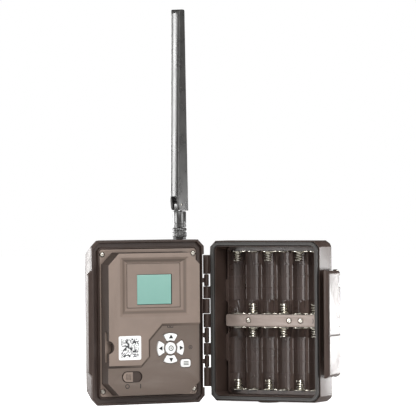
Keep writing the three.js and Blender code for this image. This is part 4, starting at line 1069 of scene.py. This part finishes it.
def addRoundKeys():
    radius = (okHigh[0] - okLow[0]) / 2
    top = keyCap("key_ok", arc(radius, 0, 356, 90, keyCentre))
    base, roof = top - keyShape["under"], top + keyShape["print"]
    sign = bandOf(keyShape["signRing"], keyShape["signLine"], base, roof, keyCentre)
    dot = printed(arc(keyShape["signDot"], 0, 340, 18, keyCentre), top)
    printSign("key_ok_sign", [sign, dot], "key_ok", "greyInk")
    low, high = boxIn("key_menu", frontFrame)
    top = keyCap("key_menu", rounded(rectangle(low[[0, 2]], high[[0, 2]]), 2.6, 8))
    middle = (low + high)[[0, 2]] / 2
    long, thin = keyShape["barLong"], keyShape["barThin"]
    bars = []
    for step in (-1, 0, 1):
        a, b = middle[0], middle[1] + step * keyShape["bars"]
        bars.append(printed(rectangle((a - long, b - thin), (a + long, b + thin)), top))
    printSign("key_menu_sign", bars, "key_menu", "greyInk")


addRoundKeys()
print("keys made")


# Power switch: a ribbed cap on a sliding plate that closes the slot.
sliderShape = dict(
    ribs=4, ribStep=1.25, ribWide=0.6, ribHigh=0.45, ribHalf=2.6, ribAside=0.6, plateLong=28.0,
    plateThick=0.9, overlap=1.2, wall=1.2, slack=0.15, behind=1.0, travel=6.0,
)


def addSlider():
    values = sliderShape
    low, high = boxIn("power_slider", frontFrame)
    radius = (high[2] - low[2]) / 2
    middle = (low[2] + high[2]) / 2
    top = -low[1]
    cap = np.concatenate([
        arc(radius, 90, 270, 20, (low[0] + radius, middle)),
        rounded(rectangle((high[0] - 2, low[2]), (high[0], high[2])), 0.6)[6:18],
    ])
    shapes = [slab(cap, -high[1], top, 0.35)]
    for i in range(values["ribs"]):
        a = (low[0] + high[0]) / 2 + values["ribAside"] + (i - (values["ribs"] - 1) / 2) * values["ribStep"]
        half, tall = values["ribWide"] / 2, values["ribHalf"]
        rib = rectangle((a - half, middle - tall), (a + half, middle + tall))
        shapes.append(slab(rounded(rib, 0.2), top - 0.3, top + values["ribHigh"], 0.12))
    addPiece("switch_cap", together(*shapes), frontPlan, "power_slider", "panelBrown", ["power_slider"])
    roofUnder = -high[1] + values["wall"] - values["slack"]
    start = low[0] - values["behind"] - values["travel"]
    over = values["overlap"]
    plate = rectangle((start, low[2] - over), (start + values["plateLong"], high[2] + over))
    shape = slab(rounded(plate, 1.0), roofUnder - values["plateThick"], roofUnder, 0.1)
    addPiece("switch_plate", shape, frontPlan, "power_slider", "shellBrown")


addSlider()


# Raised and printed marks on the panel: on and off signs and two plain pictograms.
markShape = dict(
    proud=0.12, under=0.2, sunk=0.9, line=0.55, onFrom=17.2, offFrom=4.6, below=5.4, size=1.7,
    barHalf=0.35, barOver=0.2, pictureUp=(0, 19.2), pictureAside=(19.4, 0.3), thin=0.4, card=(2.6, 1.7),
)


def addPanelMarks():
    values = markShape
    low, high = boxIn("power_slider", frontFrame)
    level = -low[1] - values["sunk"]
    base, top = level - values["under"], level + values["proud"]
    under = low[2] - values["below"] + values["size"]
    marks = [bandOf(values["size"], values["line"], base, top, (low[0] + values["offFrom"], under))]
    onAt = low[0] + values["onFrom"]
    wide, size, over = values["barHalf"], values["size"], values["barOver"]
    bar = rectangle((onAt - wide, under - size - over), (onAt + wide, under + size + over))
    marks.append(slab(rounded(bar, 0.3), base, top, 0.05))
    thin, card = values["thin"], np.array(values["card"])
    picture = keyCentre + values["pictureUp"]
    marks.append(bandOf(0.9, thin, base, top, picture, steps=20))
    outline = rounded(rectangle(picture - card, picture + card), 0.6)
    half = thin / 2
    marks.append(ring(outline, [(-half, base), (half, base), (half, top), (-half, top)]))
    a, b = keyCentre + values["pictureAside"]
    marks.append(bandOf(1.5, thin, base, top, (a, b), steps=24))
    marks.append(slab(arc(0.5, 0, 340, 16, (a, b)), base, top, 0.05))
    addPiece("panel_marks", together(*marks), frontPlan, "front_case", "printInk")


addPanelMarks()


# The stuck-on label, with its own map for the pattern.
labelShape = dict(fromKeys=(-39.65, 1.15), size=(21.3, 20.3), corner=1.6, thick=0.12)


def addLabel():
    values = labelShape
    middle = keyCentre + np.array(values["fromKeys"])
    half = np.array(values["size"]) / 2
    roof = -boxIn("control_panel", frontFrame)[0][1]
    outline = rounded(rectangle(middle - half, middle + half), values["corner"], 7)
    place = frontPlan
    sheet = slab(outline, roof - 0.1, roof + values["thick"], 0.05)
    label = addPiece("printed_label", sheet, place, "front_case", "labelPaper")
    chart = label.data.uv_layers.new(name="labelMap")
    back = place.inverted()
    corners = [back @ vertex.co / mm for vertex in label.data.vertices]
    for loop in label.data.loops:
        point = corners[loop.vertex_index]
        chart.data[loop.index].uv = [(point[i] - middle[i] + half[i]) / (2 * half[i]) for i in range(2)]


addLabel()


def addDisplay():
    low, high = boxIn("lcd_window", frontFrame)
    outline = rounded(rectangle(low[[0, 2]], high[[0, 2]]), 0.3, 4)
    shape = slab(outline, -high[1], -low[1], 0.12)
    addPiece("display_face", shape, frontPlan, "front_case", "displayFace", ["lcd_window"])


# A thin rim runs round the floor of the display's recess, a set way from the window's edges; its dark shell
# brown is painted shade for the shadow line along the floor's step.
recessShadeRim = dict(left=10.1, right=8.2, below=2.8, above=9.6, under=3.2, line=0.5, proud=0.3, base=0.2)


def addRecessShadeRim():
    values = recessShadeRim
    low, high = boxIn("lcd_window", frontFrame)
    lowCorner = (low[0] - values["left"], low[2] - values["below"])
    highCorner = (high[0] + values["right"], high[2] + values["above"])
    outline = rounded(rectangle(lowCorner, highCorner), 0.4, 4)
    floor = -boxIn("control_panel", frontFrame)[0][1] - values["under"]
    half, base, top = values["line"] / 2, floor - values["base"], floor + values["proud"]
    shape = ring(outline, [(-half, base), (half, base), (half * 0.6, top), (-half * 0.6, top)])
    # painted shade: dark shell brown on the lighter panel draws the step's shadow line
    addPiece("recess_shade_rim", shape, frontPlan, "front_case", "shellBrown")


addDisplay()
addRecessShadeRim()
print("switch, marks, label and display made")


# The antenna's blade, nut and neck.
antennaShape = dict(
    bladeLow=8.85, bladeHigh=5.0, crown=0.7, square=0.20, slotWide=5.0, slotHigh=12.4, pivotAt=2.5,
    pinHole=1.1, tip=3.2, tongue=2.2, footSweep=48, footRise=6.0, topCorner=3.2, teeth=22,
    toothDeep=0.45, notches=10, shank=2.5, groove=0.35,
)


# Blade: at share s of the height the section is x = w(s) sgn(cos)|cos|^q, y = h sgn(sin)|sin|^q,
# its narrow faces crowned by c (y/h)^2; the foot follows a circle round the pivot.
def bladeSurface():
    values = antennaShape
    low, high = boxIn("antenna_blade", antennaFrame)
    pivotLow, pivotTop = boxIn("antenna_pivot", antennaFrame)
    pivotHigh = (pivotLow[2] + pivotTop[2]) / 2
    half = high[1]
    t = np.linspace(0, fullTurn, 96, endpoint=False)[None]
    s = np.linspace(0, 1, 60)[:, None]
    a = np.sign(np.cos(t)) * np.abs(np.cos(t)) ** values["square"]
    b = np.sign(np.sin(t)) * np.abs(np.sin(t)) ** values["square"]
    width = values["bladeLow"] + (values["bladeHigh"] - values["bladeLow"]) * s
    x = width * a - values["crown"] * np.sign(a) * np.abs(a) ** 6 * b**2
    clear = pivotHigh - low[2]
    foot = values["bladeLow"] * a - values["pivotAt"]
    reach = clear * math.sin(math.radians(values["footSweep"]))
    bend = pivotHigh - np.sqrt(np.maximum(clear**2 - np.clip(foot, 0, reach) ** 2, 0))
    sideways = np.clip((foot - reach) / (values["bladeLow"] - values["pivotAt"] - reach), 0, 1)
    footHigh = pivotHigh - clear * math.cos(math.radians(values["footSweep"]))
    bottom = bend + sideways * (pivotHigh + values["footRise"] - footHigh)
    corner, wide = values["topCorner"], values["bladeHigh"]
    past = np.clip(np.abs(a) * wide - (wide - corner), 0, None)
    top = high[2] - corner + np.sqrt(np.maximum(corner**2 - past**2, 0))
    z = bottom + s * (top - bottom)
    rows = np.stack([x, half * b * np.ones_like(s), z], -1)
    lidded = [rows[:1] * [1, share, 1] for share in (0.0, 0.45, 0.9)]
    closed = [rows[-1:] * [1, share, 1] for share in (0.9, 0.45, 0.0)]
    return asGrid(np.concatenate(lidded + [rows] + closed)), pivotHigh, low[2]


# A cutter is taken out of a piece with an exact difference, and the result replaces its mesh.
def carve(piece, *cutters):
    for cutter in cutters:
        change = piece.modifiers.new("cut", "BOOLEAN")
        change.operation = "DIFFERENCE"
        change.solver = "EXACT"
        change.object = cutter
    bpy.context.view_layer.update()
    seen = piece.evaluated_get(bpy.context.evaluated_depsgraph_get())
    carved = bpy.data.meshes.new_from_object(seen)
    piece.modifiers.clear()
    piece.data = carved
    carved.set_sharp_from_angle(angle=math.radians(40))
    for cutter in cutters:
        bpy.data.objects.remove(cutter)


def cutterPiece(name, shape):
    return addPiece(name, shape, antennaFrame, "antenna_blade", "antennaBlack", slot="")


def addBlade():
    values = antennaShape
    surface, pivotHigh, foot = bladeSurface()
    body = "antenna_blade"
    blade = addPiece("paddle_blade", surface, antennaFrame, body, "antennaBlack", ["antenna_blade"])
    halfSlot = values["slotWide"] / 2
    slot = slab(rectangle((-20, -halfSlot), (20, halfSlot)), foot - 2, foot + values["slotHigh"], 0.05)
    hole = turned([(0, -9), (values["pinHole"], -9), (values["pinHole"], 9), (0, 9)], 24)
    across = Matrix.Translation((values["pivotAt"], 0, pivotHigh)) @ facing
    carve(blade, cutterPiece("slotCutter", slot), cutterPiece("holeCutter", moved(hole, across)))
    low, high = boxIn("antenna_pivot", antennaFrame)
    pin = turned(rodProfile((high[0] - low[0]) / 2, low[1], high[1]), 28)
    pin = moved(pin, across @ Matrix.Rotation(math.pi, 4, "X"))
    addPiece("elbow_pin", pin, antennaFrame, bodyOf("antenna_pivot"), "steel", ["antenna_pivot"])


# The nut's section as (share of its height, radius in mm when it is 6.1 mm wide at most).
nutShape = dict(
    levels=(0, 0, 0.05, 0.10, 0.14, 0.5, 0.56, 0.60, 0.66, 0.70, 0.74, 0.92, 1, 1, 0.82, 0.82),
    radii=(3.4, 5.5, 5.95, 5.6, 6.1, 6.1, 5.6, 5.35, 5.35, 5.6, 6.05, 6.05, 5.5, 2.85, 2.85, 3.4),
    widest=6.1,
)


# Its outer radius is cut by teeth of depth (1/2 + 1/2 cos n t)^3 and, higher up, by wider notches of
# depth (1/2 + 1/2 cos m t)^8.
def addNut():
    values = antennaShape
    low, high = boxIn("antenna_nut", antennaFrame)
    radius = high[0]
    rise = high[2] - low[2]
    levels, radii = np.array(nutShape["levels"]), np.array(nutShape["radii"])
    toothed = (levels > 0.12) & (levels < 0.52) & (radii > 6)
    notched = (levels > 0.72) & (radii > 5.7)
    t = np.linspace(0, fullTurn, values["teeth"] * 8, endpoint=False)
    teeth = (0.5 + 0.5 * np.cos(values["teeth"] * t)) ** 3 * values["toothDeep"]
    notches = (0.5 + 0.5 * np.cos(values["notches"] * t)) ** 8 * values["toothDeep"] * 1.6
    r = radii[:, None] * radius / nutShape["widest"] - toothed[:, None] * teeth - notched[:, None] * notches
    z = np.broadcast_to(low[2] + levels[:, None] * rise, r.shape)
    shape = asGrid(np.stack([r * np.cos(t), r * np.sin(t), z], -1), wrapRows=True)
    addPiece("knurled_nut", shape, antennaFrame, "antenna_nut", "antennaBlack", ["antenna_nut"])


def addNeck():
    values = antennaShape
    low, high = boxIn("antenna_neck", antennaFrame)
    radius = high[0]
    foot = boxIn("antenna_nut", antennaFrame)[1][2] + 0.3
    shoulder = boxIn("antenna_blade", antennaFrame)[0][2] - 0.5
    shank, waist = values["shank"], radius - values["groove"]
    profile = [
        (0, low[2]), (shank, low[2]), (shank, foot), (radius - 0.5, foot), (radius, foot + 0.5),
        (radius, foot + 2.4), (waist, foot + 2.7), (waist, foot + 3.3), (radius, foot + 3.6),
        (radius, shoulder - 0.7),
        (radius - 0.25, shoulder - 0.2), (radius - 0.8, shoulder), (0, shoulder),
    ]
    at, tip, half = values["pivotAt"], values["tip"], values["tongue"]
    pivotHigh = high[2] - tip
    tongue = np.concatenate([
        [(at - tip, shoulder - 0.5), (at + half, shoulder - 0.5), (at + tip, pivotHigh - tip)],
        arc(tip, 0, 180, 16, (at, pivotHigh)),
    ])
    shape = together(turned(profile, 56), moved(slab(tongue, -half, half, 0.3), facing))
    addPiece("elbow_neck", shape, antennaFrame, "antenna_neck", "antennaBlack", ["antenna_neck"])


# Jack: thread radius r - cut (1 - cos(2 pi h / pitch)), with a rubber washer on the case.
jackShape = dict(thread=3.1, cut=0.15, pitch=0.8, bore=1.0, boreDeep=3, washerIn=3.0, washerOut=5.6)


def addJack():
    low, high = boxIn("antenna_jack", antennaFrame)
    caseTop = boxIn("front_shell", frontFrame)[1][2]
    h = np.linspace(low[2], high[2], 120)
    values = jackShape
    wave = 1 - np.cos(fullTurn * (h - low[2]) / values["pitch"])
    thread = values["thread"] - values["cut"] * wave
    bore, floor = values["bore"], high[2] - values["boreDeep"]
    inside = [(bore, high[2]), (bore, floor), (0, floor)]
    profile = np.concatenate([[(0, low[2])], np.stack([thread, h], -1), inside])
    addPiece("threaded_jack", turned(profile, 40), antennaFrame, "front_case", "brass", ["antenna_jack"])
    base, top = caseTop + 0.3, caseTop + 1.2
    hole, rim = values["washerIn"], values["washerOut"]
    washer = [(hole, base), (5.5, base), (rim, base + 0.15), (rim, top - 0.2), (5.4, top), (hole, top)]
    addPiece("jack_washer", latheRing(washer, 48), antennaFrame, "front_case", "softRubber")


addBlade()
addNut()
addNeck()
addJack()
print("antenna made")


# The camera's front: lens, infrared window with its emitters, motion sensor.
lensShape = dict(
    rings=5, bore=8.6, rim=2.5, stepIn=0.38, stepDown=0.42, glassEdge=8.2, glassRim=0.6,
    baffles=6, baffleIn=0.35, baffleDown=1.5, irisRadius=2.6, beadRadius=3.2, beadHigh=1.4,
)
emitterShape = dict(columns=6, rows=3, stepAcross=7.5, stepUp=6.4, radius=2.2, flange=2.5)
pirShape = dict(cells=3, pitch=1.25, groove=0.28, bow=0.8, rings=44, spokes=144)


def addLens():
    values = lensShape
    low, high = boxIn("lens_bezel", frontFrame)
    centre = (-(low[0] + high[0]) / 2, (low[2] + high[2]) / 2)
    radius = (high[0] - low[0]) / 2
    back, face = low[1], high[1]
    bore = values["bore"]
    profile = [(bore, back), (radius, back), (radius, face - 0.9), (radius - 0.25, face - 0.3)]
    profile += [(radius - 0.9, face), (radius - 2.2, face), (radius - 2.4, face - 0.3)]
    for i in range(values["rings"]):
        r = radius - values["rim"] - i * values["stepIn"]
        level = face - 0.35 - i * values["stepDown"]
        profile += [(r, level), (r - 0.30, level - 0.04), (r - 0.34, level - 0.30)]
    profile.append((bore, face - 2.8))
    bezel = latheRing(profile, 96, centre)
    addPiece("lens_ring", bezel, frontFar, "front_case", "blackPlastic", ["lens_bezel"])
    low, high = boxIn("lens_glass", frontFrame)
    edge = values["glassEdge"]
    foot = low[1] + values["glassRim"]
    rise = high[1] - low[1] - values["glassRim"]
    bow = np.linspace(0, 1, 14) * math.pi / 2
    glass = [(0, low[1]), (edge - 0.2, low[1]), (edge, low[1] + 0.2)]
    glass += [(edge * math.cos(a), foot + rise * math.sin(a)) for a in bow]
    addPiece("lens_front", turned(glass, 72, centre), frontFar, "front_case", "coatedGlass", ["lens_glass"])
    low, high = boxIn("lens_barrel", frontFrame)
    outer = (high[0] - low[0]) / 2
    profile = [(outer - 2, low[1]), (outer, low[1]), (outer, high[1])]
    for i in range(values["baffles"]):
        level = high[1] - i * values["baffleDown"]
        inner = outer - 1.2 - values["baffleIn"] * i
        profile += [(inner, level), (inner, level - 1.2)]
    iris = values["irisRadius"]
    profile += [(iris, high[1] - 9.4), (iris, high[1] - 9.9), (outer - 2, high[1] - 10)]
    barrel = latheRing(profile, 72, centre)
    addPiece("lens_tube", barrel, frontFar, "front_case", "blackPlastic", ["lens_barrel"])
    level = high[1] - 9.6
    wide, tall = values["beadRadius"], values["beadHigh"]
    bead = [(0, level)] + [(wide * math.sin(a), level + tall * math.cos(a)) for a in bow[::-1]]
    addPiece("inner_lens", turned(bead, 48, centre), frontFar, "front_case", "coatedGlass")


def addEmitters():
    values = emitterShape
    low, high = boxIn("led_window", frontFrame)
    outline = rounded(cutRectangle((-high[0], low[2]), (-low[0], high[2]), 4), 1.6, 6)
    window = slab(outline, low[1], high[1], 0.35)
    addPiece("infrared_window", window, frontFar, "front_case", "darkWindow", ["led_window"])
    low, high = boxIn("led_board", frontFrame)
    plate = rounded(rectangle((-high[0], low[2]), (-low[0], high[2])), 1.5, 5)
    board = slab(plate, low[1], low[1] + 1.6, 0.1)
    addPiece("emitter_board", board, frontFar, "front_case", "boardWhite", ["led_board"])
    middle = (-(low[0] + high[0]) / 2, (low[2] + high[2]) / 2)
    base = low[1] + 1.5
    dome = np.linspace(0, math.pi / 2, 8)
    radius, flange = values["radius"], values["flange"]
    profile = [(0, base), (flange, base), (flange, base + 0.5), (radius, base + 0.6), (radius, base + 1.4)]
    profile += [(radius * math.cos(a), base + 1.4 + 1.9 * math.sin(a)) for a in dome[1:]]
    beads = []
    for row in range(values["rows"]):
        for column in range(values["columns"]):
            across = (column - (values["columns"] - 1) / 2) * values["stepAcross"]
            up = (row - (values["rows"] - 1) / 2) * values["stepUp"]
            beads.append(turned(profile, 20, (middle[0] + across, middle[1] + up)))
    addPiece("emitters", together(*beads), frontFar, "front_case", "clearEmitter")


# Sensor lens: height = base + rise sqrt(1 - bow (x/half)^2), less a saw-tooth ring pattern that
# starts again in each of the cells.
def addMotionSensor():
    values = pirShape
    low, high = boxIn("pir_lens", frontFrame)
    half = (high[0] - low[0]) / 2
    centre = np.array([-(low[0] + high[0]) / 2, (low[2] + high[2]) / 2])
    outline = softened(rounded(cutRectangle((-half, -half), (half, half), 3), 1.5, 5), values["spokes"], 2)
    share = np.concatenate([[1.0], np.linspace(0.985, 0, values["rings"])])[:, None]
    x, y = outline[:, 0] * share, outline[:, 1] * share
    rise = high[1] - low[1]
    height = low[1] + rise * np.sqrt(np.clip(1 - values["bow"] * (x / half) ** 2, 0, 1))
    cell = 2 * half / values["cells"]
    across = np.mod(x + half, cell) - cell / 2
    up = np.mod(y + half, cell) - cell / 2
    tooth = np.mod(np.hypot(across, up), values["pitch"]) / values["pitch"]
    inside = np.clip((1 - share) * 12, 0, 1)
    height -= values["groove"] * tooth * inside
    top = np.stack([centre[0] + x, centre[1] + y, height], -1)
    rim = top[:1] * [1, 1, 0] + [0, 0, low[1]]
    middle = np.broadcast_to([*centre, low[1]], rim.shape)
    shape = asGrid(np.concatenate([middle, rim, top]))
    addPiece("sensor_lens", shape, frontFar, "front_case", "lensMilk", ["pir_lens"], smooth=25)
    low, high = boxIn("pir_sensor", frontFrame)
    base, radius = low[1], (high[0] - low[0]) / 2
    can = radius - 0.8
    profile = [(0, base), (radius, base), (radius, base + 0.5), (can, base + 0.7), (can, high[1] - 0.4)]
    profile += [(can - 0.4, high[1]), (2.4, high[1]), (2.3, high[1] - 0.3), (0, high[1] - 0.3)]
    addPiece("sensor_can", turned(profile, 48, centre), frontFar, "front_case", "steel", ["pir_sensor"])


# Tripod insert: the bore's radius is r - cut cos(2 pi h / pitch), as a thread's is.
insertShape = dict(bore=2.75, cut=0.2, pitch=1.27, chamfer=0.3)


def addTripodInsert():
    low, high = boxIn("tripod_insert", rearFrame)
    outer = (high[0] - low[0]) / 2
    centre = (low[:2] + high[:2]) / 2
    h = np.linspace(high[2], low[2], 50)
    values = insertShape
    thread = values["bore"] - values["cut"] * np.cos(fullTurn * (h - low[2]) / values["pitch"])
    soft = values["chamfer"]
    outside = [(outer - soft, low[2]), (outer, low[2] + soft)]
    outside += [(outer, high[2] - soft), (outer - soft, high[2])]
    profile = np.concatenate([outside, np.stack([thread, h], -1)])
    insert = latheRing(profile, 48, centre)
    addPiece("threaded_insert", insert, rearFrame, "rear_case", "brass", ["tripod_insert"])


addLens()
addEmitters()
addMotionSensor()
addTripodInsert()
print("lens, emitters, sensor and tripod insert made")


# Polarity signs in the troughs and guide marks on the bar; the bar's engraved marks are in darker tray brown
# as painted shade of their grooves.
polarityShape = dict(long=2.6, wide=0.6, proud=0.28, beside=-2.4, inset=11.0, trough=7.3, under=0.3)
barMarkShape = dict(
    radius=3.4, line=0.5, under=0.2, proud=0.12,
    marks=((9.6, -38, 38), (1.2, 142, 218), (5.0, -38, 38)),
)


def addPolarity():
    values = polarityShape
    half, thin = values["long"] / 2, values["wide"] / 2
    shapes = []
    for contact in contactPlaces:
        (springX, buttonX), depth, end, way = contactPlan(*contact)
        floor = depth + math.sqrt(values["trough"] ** 2 - values["beside"] ** 2)
        base, top = -floor - values["under"], -floor + values["proud"]
        z = end + way * values["inset"]
        for x, isPlus in ((springX, False), (buttonX, True)):
            a = x + values["beside"]
            across = rectangle((a - half, z - thin), (a + half, z + thin))
            shapes.append(slab(rounded(across, 0.2, 4), base, top, 0.1))
            if isPlus:
                upright = rectangle((a - thin, z - half), (a + thin, z + half))
                shapes.append(slab(rounded(upright, 0.2, 4), base, top + 0.02, 0.1))
    addPiece("polarity_marks", together(*shapes), rearPlan, "rear_case", "trayBrown")


def addBarMarks():
    values = barMarkShape
    low, high = boxIn("tray_bar", rearFrame)
    middle = (low[2] + high[2]) / 2
    base, top = -low[1] - values["under"], -low[1] + values["proud"]
    shapes = [
        bandOf(values["radius"], values["line"], base, top, (high[0] - inset, middle), start, end, 14)
        for inset, start, end in values["marks"]
    ]
    # painted shade: the marks take the darker tray brown so the engravings read as shaded grooves
    addPiece("bar_marks_painted_shade", together(*shapes), rearPlan, "rear_case", "trayBrown", slot="bar")


addPolarity()
addBarMarks()
print("signs made")
